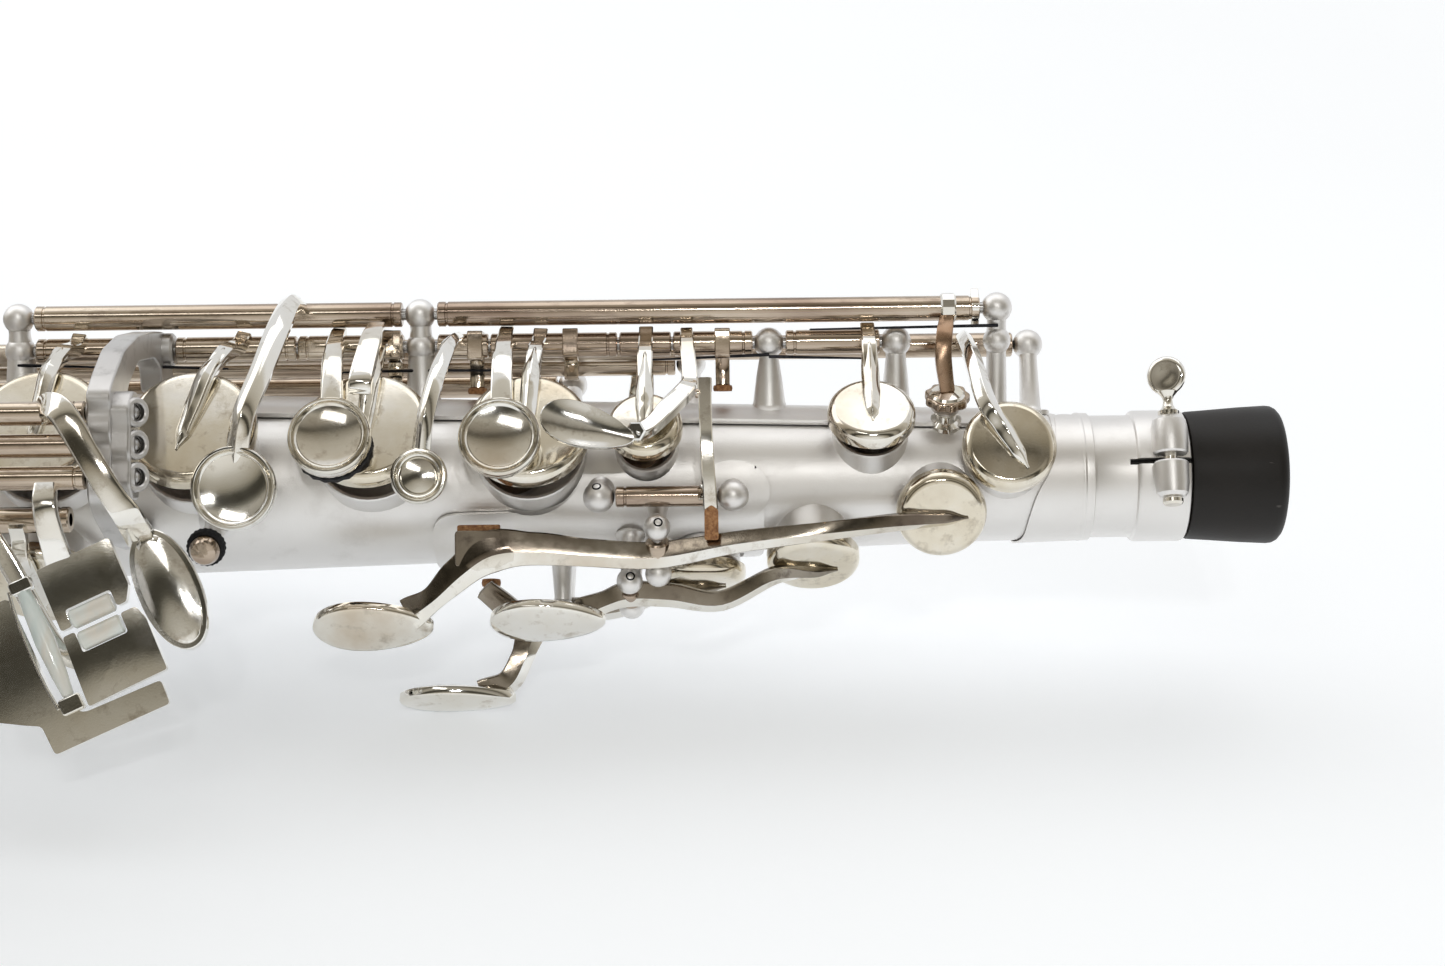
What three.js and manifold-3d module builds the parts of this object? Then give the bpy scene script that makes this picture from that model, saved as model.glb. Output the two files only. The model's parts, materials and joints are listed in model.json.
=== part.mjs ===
// Curved alto saxophone without its neck and mouthpiece, lying on its left side with an end plug in the
// neck socket. Millimetres, +Z up, +X towards the neck socket. The instrument is laid out in its own
// coordinates first: s is the distance down the body tube from the socket's rim, p is the distance to the
// front of the tube's axis and q the distance above it. One group then lays it on its resting points.
import * as THREE from "three";
import { mergeVertices } from "three/addons/utils/BufferGeometryUtils.js";
import Module from "manifold-3d";

const wasm = await Module();
wasm.setup();

// ---------- driving dimensions ----------
const GAP = 0.3; // clearance between neighbouring pieces
const WALL = 1.0; // tube wall
const TOP_RADIUS = 12.2; // body tube's outer radius at the socket's rim
const TAPER = 0.0286; // growth of that radius per millimetre
const BODY_START = 22; // where the tube leaves the socket
const BODY_END = 455; // where the tube meets the bow
const BOW_RADIUS = 42; // bend of the bow's centre line
const BOW_LEG = 32; // straight stretch before the bend
const BELL_LEAN = 3.5; // degrees that the bell leans away from the tube
const BELL_LENGTH = 172;
const BELL_START_RADIUS = 34;
const BELL_RIM_RADIUS = 61.5;
const BELL_ANGLE = -12; // direction of the bell round the tube, degrees above the front
const CHIMNEY = 3; // height of a tone hole's rim over the tube
const CUP_OVERLAP = 2; // how far a key cup reaches past its tone hole
const CUP_HEIGHT = 4.6;
const HINGE_RADIUS = 2.6;
const ROD_RADIUS = 1.2;
const TABLE_HINGE_RADIUS = 2.3;
const BORE_RADIUS = 1.7; // of hinge tubes and posts that hold a steel rod
const BALL_RADIUS = 3.2;
const TUBE_SIDES = 20; // facets round the body tube
const BELL_SIDES = 26;
const BELL_OPEN = 9; // degrees that an open-standing bell key has to close
const STACK_OPEN = 9; // degrees that an open-standing key has to close
const ROLL = 28.13; // degrees the instrument is turned about its length to lie on the table
const PITCH = 2.63; // degrees its bow end is lower than its socket end

const COLOURS = {
  satin: { color: 0xc9c7c4, roughness: 0.45, metalness: 1 },
  polished: { color: 0xd8d2c4, roughness: 0.12, metalness: 1 },
  steel: { color: 0x8d8a86, roughness: 0.25, metalness: 1 },
  ebonite: { color: 0x1b1b1c, roughness: 0.5, metalness: 0 },
  pearl: { color: 0xe8ece4, roughness: 0.25, metalness: 0 },
};

// ---------- places ----------
const rad = THREE.MathUtils.degToRad;
const at = (s, p, q) => new THREE.Vector3(-s, -p, q);
const outward = (a) => new THREE.Vector3(0, -Math.cos(rad(a)), Math.sin(rad(a)));
const around = (a) => new THREE.Vector3(0, Math.sin(rad(a)), Math.cos(rad(a)));
const polar = (s, a, r) => at(s, r * Math.cos(rad(a)), r * Math.sin(rad(a)));
const tubeRadius = (s) => TOP_RADIUS + TAPER * s;
const lerp = THREE.MathUtils.lerp;
const RIGHT_SIDE = BELL_ANGLE + 90; // direction that faces up when the instrument lies down

// Hinge lines parallel to the tube, as p and q.
const LINE_A = [6.2, 35.4];
const LINE_B = [5.05, 28.7];
const LINE_D = [-1.3, 37];
const LINE_FRONT = [23.6, -3];
const LINE_P1 = [46, 14.4];
const LINE_P2 = [46, 8.2];
const LINE_P3 = [46, 2];
const LINE_GS = [29.3, -6.2];
const LINE_SIDE_C = [-13.6, 25.6];
const LINE_SIDE_BB = [-19.6, 21.4];
const LINE_HIGH_E = [-7.1, 28.4];
const LINE_OCTAVE = [-27, 7];
const LINE_BELL = [62, 29.5];
const LINE_C_SHARP = [81.4, -61.8];

// ---------- solids ----------
function solid(geometry) {
  const plain = geometry.index ? geometry.toNonIndexed() : geometry.clone();
  plain.deleteAttribute("normal");
  plain.deleteAttribute("uv");
  const merged = mergeVertices(plain, 1e-4);
  return new wasm.Manifold(
    new wasm.Mesh({
      numProp: 3,
      vertProperties: new Float32Array(merged.attributes.position.array),
      triVerts: new Uint32Array(merged.index.array),
    }),
  );
}

const join = (...pieces) => pieces.reduce((a, b) => a.add(b));
const cut = (body, ...tools) => tools.reduce((a, b) => a.subtract(b), body);

function placed(geometry, centre, direction) {
  const turn = new THREE.Quaternion().setFromUnitVectors(
    new THREE.Vector3(0, 1, 0),
    direction.clone().normalize(),
  );
  return geometry.applyQuaternion(turn).translate(centre.x, centre.y, centre.z);
}

// A profile of [radius, height] points turned about the line through centre along direction.
function turned(profile, centre, direction, sides = 12) {
  const points = profile.map(([r, h]) => new THREE.Vector2(r, h));
  return solid(placed(new THREE.LatheGeometry(points, sides), centre, direction));
}

function rod(from, to, radius, sides = 8) {
  const length = from.distanceTo(to);
  const middle = from.clone().lerp(to, 0.5);
  const direction = to.clone().sub(from);
  return solid(placed(new THREE.CylinderGeometry(radius, radius, length, sides), middle, direction));
}

function cone(from, to, fromRadius, toRadius, sides = 6) {
  const profile = [
    [0, 0],
    [fromRadius, 0],
    [toRadius, from.distanceTo(to)],
    [0, from.distanceTo(to)],
  ];
  return turned(profile, from, to.clone().sub(from), sides);
}

const ball = (centre, radius) =>
  solid(new THREE.SphereGeometry(radius, 7, 4).translate(centre.x, centre.y, centre.z));

// Skins rings of points into one closed surface.
function loft(rings) {
  const sides = rings[0].length;
  const positions = rings.flat().flatMap((v) => [v.x, v.y, v.z]);
  const faces = [];
  for (let i = 0; i + 1 < rings.length; i++)
    for (let j = 0; j < sides; j++) {
      const [a, b] = [i * sides + j, i * sides + ((j + 1) % sides)];
      faces.push(a, b, a + sides, b, b + sides, a + sides);
    }
  const last = (rings.length - 1) * sides;
  for (let j = 1; j + 1 < sides; j++) {
    faces.push(0, j + 1, j);
    faces.push(last, last + j, last + j + 1);
  }
  const geometry = new THREE.BufferGeometry();
  geometry.setAttribute("position", new THREE.Float32BufferAttribute(positions, 3));
  geometry.setIndex(faces);
  const made = solid(geometry);
  return made.volume() < 0 ? solid(flipped(geometry)) : made;
}

function flipped(geometry) {
  const index = geometry.index.array;
  for (let i = 0; i < index.length; i += 3)
    [index[i + 1], index[i + 2]] = [index[i + 2], index[i + 1]];
  return geometry;
}

// A key's arm: a bar through the points, each with its width across and its height along up.
function bar(points, width, height, up, steps = 2) {
  const path = new THREE.CatmullRomCurve3(points, false, "centripetal");
  const count = (points.length - 1) * steps;
  const wide = Array.isArray(width) ? width : [width, width];
  const tall = Array.isArray(height) ? height : [height, height];
  const rings = [];
  for (let i = 0; i <= count; i++) {
    const t = i / count;
    const centre = path.getPoint(t);
    const along = path.getTangent(t);
    const side = along.clone().cross(up).normalize();
    const rise = side.clone().cross(along).normalize();
    const w = lerp(wide[0], wide[1], t) / 2;
    const h = lerp(tall[0], tall[1], t) / 2;
    rings.push(
      [[w, h], [-w, h], [-w, -h], [w, -h]].map(([x, y]) =>
        centre.clone().addScaledVector(side, x).addScaledVector(rise, y),
      ),
    );
  }
  return loft(rings);
}

// A tube whose round section follows centres, each with its own radius.
function pipe(centres, radii, normal, sides = 20) {
  return loft(
    centres.map((centre, i) => {
      const before = centres[Math.max(i - 1, 0)];
      const after = centres[Math.min(i + 1, centres.length - 1)];
      const along = after.clone().sub(before).normalize();
      const side = along.clone().cross(normal).normalize();
      return Array.from({ length: sides }, (_, j) => {
        const turn = (2 * Math.PI * j) / sides;
        return centre
          .clone()
          .addScaledVector(side, radii[i] * Math.cos(turn))
          .addScaledVector(normal, radii[i] * Math.sin(turn));
      });
    }),
  );
}

// A flat plate: an outline of [u, v] points in the plane of the unit vectors u and v, centred on depth.
function plate(outline, centre, u, v, depth, hole = null) {
  const shape = new THREE.Shape(outline.map(([x, y]) => new THREE.Vector2(x, y)));
  if (hole) shape.holes.push(new THREE.Path(hole.map(([x, y]) => new THREE.Vector2(x, y))));
  const geometry = new THREE.ExtrudeGeometry(shape, { depth, bevelEnabled: false, steps: 1 });
  geometry.translate(0, 0, -depth / 2);
  const axes = new THREE.Matrix4().makeBasis(u, v, u.clone().cross(v));
  return solid(geometry.applyMatrix4(axes).translate(centre.x, centre.y, centre.z));
}

const oval = (halfLength, halfWidth, count = 10) =>
  Array.from({ length: count }, (_, i) => {
    const turn = (2 * Math.PI * i) / count;
    return [halfLength * Math.cos(turn), halfWidth * Math.sin(turn)];
  });

// The body tube's cone between two places, grown by a clearance.
function tubeCone(from, to, clear) {
  const radii = [tubeRadius(from) + clear, tubeRadius(to) + clear];
  return cone(at(from, 0, 0), at(to, 0, 0), radii[0], radii[1], TUBE_SIDES);
}

// A plate bent round the tube: the part of a thin cone shell inside an outline seen along angle a. The
// outline's points are [s, distance round from a's direction].
function skin(outline, a, thick = 1) {
  const stretch = outline.map(([s]) => s);
  const [from, to] = [Math.min(...stretch) - 1, Math.max(...stretch) + 1];
  const shell = cut(tubeCone(from, to, GAP + thick), tubeCone(from - 1, to + 1, GAP));
  const u = new THREE.Vector3(-1, 0, 0);
  const v = around(a);
  const reach = 60;
  return shell.intersect(plate(outline, outward(a).multiplyScalar(reach / 2), u, v, reach));
}

// ---------- tone holes ----------
function tubeHole(s, a, radius, height = CHIMNEY) {
  const normal = outward(a);
  return { centre: polar(s, a, tubeRadius(s) + height), normal, radius, depth: height + 4 };
}

// A place along the bell's centre line, t millimetres from the bow, and the radius there.
const bellDirection = at(-Math.cos(rad(BELL_LEAN)), 0, 0).addScaledVector(
  outward(BELL_ANGLE),
  Math.sin(rad(BELL_LEAN)),
);
const bowEndTurn = 180 - BELL_LEAN;
function bowCentre(turn) {
  const s = BODY_END + BOW_LEG + BOW_RADIUS * Math.sin(rad(turn));
  return at(s, 0, 0).addScaledVector(outward(BELL_ANGLE), BOW_RADIUS * (1 - Math.cos(rad(turn))));
}
const bellStart = bowCentre(bowEndTurn).addScaledVector(bellDirection, BOW_LEG + 3);
const bellCentre = (t) => bellStart.clone().addScaledVector(bellDirection, t);
const BELL_PROFILE = [
  [0, BELL_START_RADIUS],
  [40, 36],
  [80, 38.8],
  [110, 42.2],
  [135, 46.8],
  [152, 51.8],
  [164, 56.8],
  [BELL_LENGTH, BELL_RIM_RADIUS],
];
function bellRadius(t) {
  const i = Math.max(1, BELL_PROFILE.findIndex(([h]) => h >= t));
  const [[h0, r0], [h1, r1]] = [BELL_PROFILE[i - 1], BELL_PROFILE[i]];
  return lerp(r0, r1, (t - h0) / (h1 - h0));
}
function bellHole(t, a, radius) {
  const normal = outward(a);
  const centre = bellCentre(t).addScaledVector(normal, bellRadius(t) + CHIMNEY);
  return { centre, normal, radius, depth: CHIMNEY + 5 };
}
const bowStartRadius = tubeRadius(BODY_END);
const bowRadiusAt = (turn) => lerp(bowStartRadius + 1, BELL_START_RADIUS - 1, turn / 180);
const LOW_C_TURN = 48;

const HOLES = {
  high_e: tubeHole(38, 20, 7.6),
  palm_f: tubeHole(52, -22, 7.2),
  octave: tubeHole(50, 56, 1.6, 3.4),
  c_vent: tubeHole(66, 38, 7),
  palm_eb: tubeHole(78, -56, 7.6),
  palm_d: tubeHole(101, -72, 7.2),
  c_cup: tubeHole(112, 25, 5.6),
  b: tubeHole(135.6, 22, 10.6),
  a: tubeHole(167.8, 22, 10.8),
  g: tubeHole(203, 22, 11.2),
  f_sharp: tubeHole(233, 22, 11.4),
  g_sharp: tubeHole(236, -52, 10),
  f: tubeHole(277, 48, 12.6),
  e: tubeHole(312, 48, 13.2),
  d: tubeHole(350, 48, 14),
  low_eb: tubeHole(422, 136, 13),
  side_c: tubeHole(116, 152, 7),
  side_bb: tubeHole(142, 160, 7.4),
  low_bb: bellHole(72, RIGHT_SIDE, 17.5),
  low_b: bellHole(31, RIGHT_SIDE, 16.8),
  low_c_sharp: bellHole(44, -62, 15),
  low_c: {
    centre: bowCentre(LOW_C_TURN).addScaledVector(
      outward(RIGHT_SIDE),
      bowRadiusAt(LOW_C_TURN) + CHIMNEY,
    ),
    normal: outward(RIGHT_SIDE),
    radius: 16.4,
    depth: CHIMNEY + 5,
  },
};
const BELL_HOLES = ["low_bb", "low_b", "low_c_sharp"];
const BOW_HOLES = ["low_c"];
const TUBE_HOLES = Object.keys(HOLES).filter((k) => !BELL_HOLES.includes(k) && !BOW_HOLES.includes(k));

function withChimneys(body, names) {
  const sides = 8;
  for (const { centre, normal, radius, depth } of names.map((n) => HOLES[n])) {
    const foot = centre.clone().addScaledVector(normal, -depth);
    body = body.add(rod(foot, centre, radius + 0.9, sides));
  }
  for (const { centre, normal, radius, depth } of names.map((n) => HOLES[n])) {
    const foot = centre.clone().addScaledVector(normal, -depth - 3);
    body = body.subtract(rod(foot, centre.clone().addScaledVector(normal, 1), radius, sides));
  }
  return body;
}

// Cuts a piece that stands on the tube back to a hair above it.
function offTube(piece, from, to) {
  return cut(piece, tubeCone(from, to, GAP));
}

// ---------- key pieces ----------
const onLine = (line, s) => at(s, line[0], line[1]);
const hinge = (line, from, to, radius = HINGE_RADIUS) => rod(onLine(line, from), onLine(line, to), radius);

function hingeBore(line, from, to) {
  return rod(onLine(line, from - 1), onLine(line, to + 1), BORE_RADIUS, 6);
}

function cup(name, sides = 12) {
  const { centre, normal, radius } = HOLES[name];
  const r = radius + CUP_OVERLAP;
  const profile = [
    [0, GAP],
    [r, GAP],
    [r, GAP + 3.2],
    [r - 1.6, GAP + CUP_HEIGHT],
    [0, GAP + CUP_HEIGHT],
  ];
  return turned(profile, centre, normal, sides);
}

const cupTop = (name, above = 0) =>
  HOLES[name].centre.clone().addScaledVector(HOLES[name].normal, GAP + CUP_HEIGHT + above);

// The arm from a hinge line down to the middle of a cup, tapering to a point as a spear does.
function cupArm(line, s, name, lift = 4, base = 3.4) {
  const start = onLine(line, s);
  const end = cupTop(name, -0.4);
  const knee = start.clone().lerp(end, 0.42).addScaledVector(HOLES[name].normal, lift);
  return bar([start, knee, end], [base, 1.8], [3.6, 2.2], HOLES[name].normal);
}

// A round finger touch: a metal button with a hollow dish, facing along a.
function fingerTouch(centre, a, radius, height = 5) {
  const profile = [
    [0, 0],
    [radius, 0],
    [radius, height],
    [radius - 1.4, height],
    [radius - 2, height - 0.7],
    [0, height - 1.3],
  ];
  return turned(profile, centre, outward(a), 10);
}

function touchArm(line, s, centre, a, lift = 6) {
  const start = onLine(line, s);
  const end = centre.clone().addScaledVector(outward(a), 1);
  const knee = start.clone().lerp(end, 0.5).addScaledVector(outward(a + 25), lift);
  return bar([start, knee, end], [3.4, 4.4], [3.4, 2.2], outward(a));
}

function paddle(centre, normal, along, halfLength, halfWidth, thick = 2.4) {
  const across = normal.clone().cross(along).normalize();
  const forward = across.clone().cross(normal).normalize();
  return plate(oval(halfLength, halfWidth), centre, forward, across, thick);
}

const post = (s, a, top, foot = 3.6, neck = 2.4) =>
  join(
    cone(polar(s, a, tubeRadius(s) + GAP + 0.4), polar(s, a, top), foot, neck),
    ball(polar(s, a, top), BALL_RADIUS),
  );

// A post whose ball sits on a hinge line.
function linePost(line, s, foot = 3.6, neck = 2.4) {
  const r = Math.hypot(line[0], line[1]);
  const a = THREE.MathUtils.radToDeg(Math.atan2(line[1], line[0]));
  return post(s, a, r, foot, neck);
}

// ---------- the fixed body ----------
function bodyTube() {
  const end = BODY_END - GAP;
  const outer = tubeCone(BODY_START, end, 0);
  const inner = tubeCone(BODY_START - 1, end + 1, -WALL);
  return cut(withChimneys(outer, TUBE_HOLES), inner);
}

const LUG_ANGLE = 13; // where the socket's clamp lugs stand
const LUG_S = 4.8;
const LUG_R = 15.8;
function neckSocket() {
  const profile = [
    [11.6, 0],
    [13.4, 0],
    [13.8, 0.6],
    [13.8, 10.4],
    [12.9, 11.2],
    [12.8, 19.4],
    [13.4, 20],
    [13.4, BODY_START - GAP],
    [11.6, BODY_START - GAP],
    [11.6, 0],
  ];
  const socket = turned(profile, at(0, 0, 0), at(1, 0, 0), TUBE_SIDES);
  const middle = polar(LUG_S, LUG_ANGLE, LUG_R);
  const step = (d) => middle.clone().addScaledVector(around(LUG_ANGLE), d);
  const lugs = join(socket, cone(step(0), step(9), 3.6, 3.9), cone(step(0), step(-8.4), 3.6, 3.2));
  const slot = plate(
    [
      [-1, -0.7],
      [12.6, -0.7],
      [12.6, 0.7],
      [-1, 0.7],
    ],
    polar(0, LUG_ANGLE, 15),
    new THREE.Vector3(-1, 0, 0),
    around(LUG_ANGLE),
    12,
  );
  const inside = rod(at(-1, 0, 0), at(BODY_START, 0, 0), 11.6, TUBE_SIDES);
  return cut(lugs, slot, inside, rod(step(-9.5), step(10), 1.6));
}

function clampScrew() {
  const middle = polar(LUG_S, LUG_ANGLE, LUG_R);
  const step = (d) => middle.clone().addScaledVector(around(LUG_ANGLE), d);
  const face = new THREE.Vector3(-0.75, -0.6, 0.25).normalize();
  return join(
    rod(step(-8), step(11), 1.2),
    cone(step(9.4), step(12.4), 1.9, 1.4),
    cone(step(11.4), step(14), 1.5, 2.2),
    rod(step(17.4).addScaledVector(face, -1.1), step(17.4).addScaledVector(face, 1.1), 4.3, 20),
  );
}

function endPlug() {
  const profile = [
    [0, -20.4],
    [12.6, -20.4],
    [14.2, -19.4],
    [14.5, -17.8],
    [13.3, -GAP],
    [11.2, -GAP],
    [11.1, 18],
    [10.2, 19],
    [0, 19],
  ];
  return turned(profile, at(0, 0, 0), at(1, 0, 0), TUBE_SIDES);
}

function bowTurns(first, last, count) {
  return Array.from({ length: count + 1 }, (_, i) => lerp(first, last, i / count));
}

// The U-shaped bow between the body tube and the bell.
function bow() {
  const legIn = at(BODY_END + GAP, 0, 0);
  const legOut = bellCentre(-GAP);
  const turns = bowTurns(0, bowEndTurn, 8);
  const centres = [legIn, ...turns.map(bowCentre), legOut];
  const radii = [bowStartRadius, ...turns.map(bowRadiusAt), BELL_START_RADIUS];
  const inner = [legIn.clone().add(at(-1, 0, 0)), ...turns.map(bowCentre), bellCentre(1)];
  const normal = outward(RIGHT_SIDE);
  const shell = withChimneys(pipe(centres, radii, normal), BOW_HOLES);
  return shell.subtract(pipe(inner, radii.map((r) => r - WALL), normal));
}

// The flared bell with its rolled rim.
function bell() {
  const rimBead = 1.7;
  const outside = BELL_PROFILE.map(([h, r]) => [r, h]);
  const inside = BELL_PROFILE.map(([h, r]) => [r - WALL, h]).reverse();
  const bead = [
    [BELL_RIM_RADIUS + rimBead, BELL_LENGTH + 0.4],
    [BELL_RIM_RADIUS + rimBead, BELL_LENGTH + 2],
    [BELL_RIM_RADIUS + 0.6, BELL_LENGTH + 3],
    [BELL_RIM_RADIUS - 1.8, BELL_LENGTH + 3],
  ];
  const profile = [...outside, ...bead, ...inside];
  profile.push(profile[0]);
  const shell = turned(profile, bellStart, bellDirection, BELL_SIDES);
  const bore = BELL_PROFILE.slice(0, 6).map(([h, r]) => [r - WALL, h]);
  const core = turned([[0, -1], [bore[0][0], -1], ...bore, [0, 152]], bellStart, bellDirection, BELL_SIDES);
  return cut(withChimneys(shell, BELL_HOLES), core);
}

// A beaded collar over a joint between two tubes.
function collar(centre, direction, radius, clear = 0.5) {
  const profile = [
    [radius + clear, -7],
    [radius + 1.9, -7],
    [radius + 2.4, -4],
    [radius + 1.8, 0],
    [radius + 2.4, 4],
    [radius + 1.9, 7],
    [radius + clear, 7],
    [radius + clear, -7],
  ];
  return turned(profile, centre, direction, TUBE_SIDES);
}

// A flat ring about the line through centre along axis.
function hoopRing(centre, axis, halfThick, outer, inner) {
  const step = (d) => centre.clone().addScaledVector(axis, d);
  return cut(
    rod(step(-halfThick), step(halfThick), outer, 24),
    rod(step(-halfThick - 0.5), step(halfThick + 0.5), inner, 24),
  );
}

// The brace between the body tube and the bell: a ring on two feet.
function bellBrace() {
  const s = 330;
  const t = 125;
  const fore = outward(BELL_ANGLE);
  const from = tubeRadius(s) + GAP;
  const to = bellCentre(t).dot(fore) - bellRadius(t) - GAP - 0.4;
  const place = (b) => at(s, 0, 0).addScaledVector(fore, b);
  const ring = 7.5;
  const middle = (from + to) / 2;
  return join(
    hoopRing(place(middle), outward(RIGHT_SIDE), 2.4, ring, ring - 2.6),
    cone(place(from), place(middle - ring + 1.5), 5, 2.6),
    cone(place(to), place(middle + ring - 1.5), 5.4, 2.6),
  );
}

// A wire guard over a key cup: three legs that meet in a bumper boss above the cup.
function guard(name, spread, height, turns) {
  const { centre, normal, radius } = HOLES[name];
  const side = new THREE.Vector3(1, 0, 0).cross(normal).normalize();
  const forward = normal.clone().cross(side).normalize();
  const place = (turn, r, h) =>
    centre
      .clone()
      .addScaledVector(forward, r * Math.cos(rad(turn)))
      .addScaledVector(side, r * Math.sin(rad(turn)))
      .addScaledVector(normal, h);
  const legs = turns.map(([turn, drop]) =>
    bar(
      [
        place(turn, radius + spread, -drop),
        place(turn, radius + spread, height - 6),
        place(turn, radius * 0.7, height),
        place(turn, 0, height),
      ],
      3,
      3,
      place(turn + 90, 1, 0).sub(centre).normalize(),
    ),
  );
  const boss = rod(place(0, 0, height - 3.4), place(0, 0, height + 2), 4.6, 16);
  return join(boss, ...legs);
}

// ---------- ribs, posts and brackets ----------
function clearOfHoles(piece, names, margin = 1.6) {
  for (const { centre, normal, radius } of names.map((n) => HOLES[n])) {
    const foot = centre.clone().addScaledVector(normal, -8);
    piece = piece.subtract(rod(foot, centre.clone().addScaledVector(normal, 6), radius + margin, 8));
  }
  return piece;
}

function upperRib() {
  const strap = skin(
    [
      [35, -7],
      [247, -9],
      [247, 4],
      [35, 2.2],
    ],
    80,
  );
  const posts = [
    linePost(LINE_A, 39, 2.2, 1.9),
    linePost(LINE_A, 159, 3.6, 2),
    linePost(LINE_A, 242.6, 3.4, 2),
    linePost(LINE_B, 60, 3, 2),
    linePost(LINE_B, 86.5, 3, 2),
    ...[159, 242.6].map((s) => ball(onLine(LINE_B, s), BALL_RADIUS)),
  ];
  return cut(
    clearOfHoles(join(strap, ...posts), ["high_e", "octave", "c_vent", "b", "a", "g", "f_sharp"]),
    rod(onLine(LINE_A, 30), onLine(LINE_A, 250), BORE_RADIUS, 6),
    rod(onLine(LINE_B, 52), onLine(LINE_B, 250), BORE_RADIUS, 6),
  );
}

function lowerRib() {
  const strap = skin(
    [
      [250, -7],
      [440, -7],
      [440, 1.4],
      [250, 1.4],
    ],
    92,
  );
  const posts = [252.5, 325, 398, 431].map((s) => linePost(LINE_D, s, 3, 2.2));
  return cut(
    clearOfHoles(join(strap, ...posts), ["f", "e", "d"]),
    rod(onLine(LINE_D, 248), onLine(LINE_D, 437), BORE_RADIUS, 6),
  );
}

function palmPlate() {
  const body = skin(
    [
      [88, 9],
      [98, 12],
      [128, 12],
      [134, 5],
      [156, 5],
      [156, -14],
      [138, -22],
      [104, -22],
      [88, -12],
    ],
    -38,
  );
  const posts = [
    ...PALM_PINS.flatMap(([s, a]) => [palmPost(s, a, 1), palmPost(s, a, -1)]),
    linePost(LINE_FRONT, 94.4, 2.6, 2),
    linePost(LINE_FRONT, 121.4, 2.6, 2),
  ];
  const holes = ["palm_eb", "palm_d", "c_cup", "b", "a"];
  return offTube(clearOfHoles(join(body, ...posts), holes), 86, 160);
}

// One of the two posts that hold a palm key's cross pin.
const PALM_HALF = 5.6;
const PALM_RISE = 11;
const PALM_PINS = [
  [109.7, -32],
  [115.6, -60],
  [130, -88],
];
function palmPost(s, a, side) {
  const centre = polar(s, a, tubeRadius(s) + PALM_RISE).addScaledVector(around(a), side * PALM_HALF);
  const foot = polar(s, a, tubeRadius(s) - 2).addScaledVector(around(a), side * PALM_HALF);
  return join(cone(foot, centre, 2.2, 1.9), ball(centre, 2.7));
}

// The arch that carries the pinky table's three pivots at their upper end.
function archBracket() {
  const outline = [
    [-1, 31.6],
    [14, 32],
    [28, 30.4],
    [39, 27],
    [47, 21.5],
    [51, 15],
    [51, -1.6],
    [46, -6],
    [36, -11],
    [22, -12.6],
    [16.4, -11],
    [18.2, -7],
    [30, -9],
    [38.5, -5],
    [41, 2],
    [40.6, 13],
    [36, 20],
    [28, 25],
    [14, 26.5],
    [8.6, 24.6],
    [7.6, 19.6],
    [-2.6, 20.6],
  ];
  const u = new THREE.Vector3(0, -1, 0);
  const v = new THREE.Vector3(0, 0, 1);
  const arch = plate(outline, at(214, 0, 0), u, v, 6.5);
  const boss = rod(onLine(LINE_B, 210.4), onLine(LINE_B, 217.8), 3.4, 12);
  const pivots = [LINE_P1, LINE_P2, LINE_P3].map((line) =>
    rod(onLine(line, 208.8), onLine(line, 217.8), 2.9, 12),
  );
  return cut(
    offTube(join(arch, boss, ...pivots), 200, 228),
    rod(onLine(LINE_B, 205), onLine(LINE_B, 230), BORE_RADIUS, 6),
  );
}

// The bracket at the pivots' lower end.
function pinkyPost() {
  const outline = [
    [15, -4],
    [30, -3],
    [41, -1],
    [50, -1.5],
    [50, 18],
    [42, 18],
    [40, 8],
    [30, 4.6],
    [15, 5],
  ];
  const arm = plate(outline, at(265, 0, 0), new THREE.Vector3(0, -1, 0), new THREE.Vector3(0, 0, 1), 5);
  const pivots = [LINE_P1, LINE_P2, LINE_P3].map((line) =>
    rod(onLine(line, 262), onLine(line, 268), 2.9, 12),
  );
  return offTube(join(arm, ...pivots), 255, 275);
}

function sidePosts(line, places) {
  return places.map((s) => linePost(line, s, 2.8, 2));
}

function sideRib() {
  const strap = skin(
    [
      [27, -5.8],
      [118, -6],
      [124, -4],
      [338, -4],
      [338, 7],
      [112, 7],
      [98, 1],
      [27, -1],
    ],
    120,
  );
  return clearOfHoles(
    join(
      strap,
      ...sidePosts(LINE_SIDE_C, [103, 334]),
      ...sidePosts(LINE_SIDE_BB, [129, 334]),
      linePost(LINE_HIGH_E, 31, 2.2, 1.8),
      linePost(LINE_HIGH_E, 334, 2.8, 2),
    ),
    ["side_c", "side_bb"],
  );
}

// A place on the bell's skin below a hinge line, at s down the tube.
function bellFoot(line, s, above) {
  const t = (-bellStart.x - s) / Math.cos(rad(BELL_LEAN));
  const centre = bellCentre(t);
  const direction = onLine(line, s).sub(centre).setX(0).normalize();
  return centre.clone().setX(-s).addScaledVector(direction, bellRadius(t) + above);
}

function bellPost(line, s) {
  const foot = bellFoot(line, s, 0.8);
  return join(cone(foot, onLine(line, s), 3.4, 2.2), ball(onLine(line, s), BALL_RADIUS));
}

function bellPosts(line, places, up) {
  const rail = bar(
    places.map((s) => bellFoot(line, s, 1.4)),
    7,
    1.6,
    outward(up),
    3,
  );
  return join(rail, ...places.map((s) => bellPost(line, s)));
}

function bowPost() {
  const s = 474;
  const r = Math.hypot(...LINE_D);
  const a = THREE.MathUtils.radToDeg(Math.atan2(LINE_D[1], LINE_D[0]));
  const foot = bowStartRadius + 1 + GAP + 0.4;
  return join(cone(polar(s, a, foot), polar(s, a, r), 3.2, 2.2), ball(polar(s, a, r), BALL_RADIUS));
}

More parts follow.
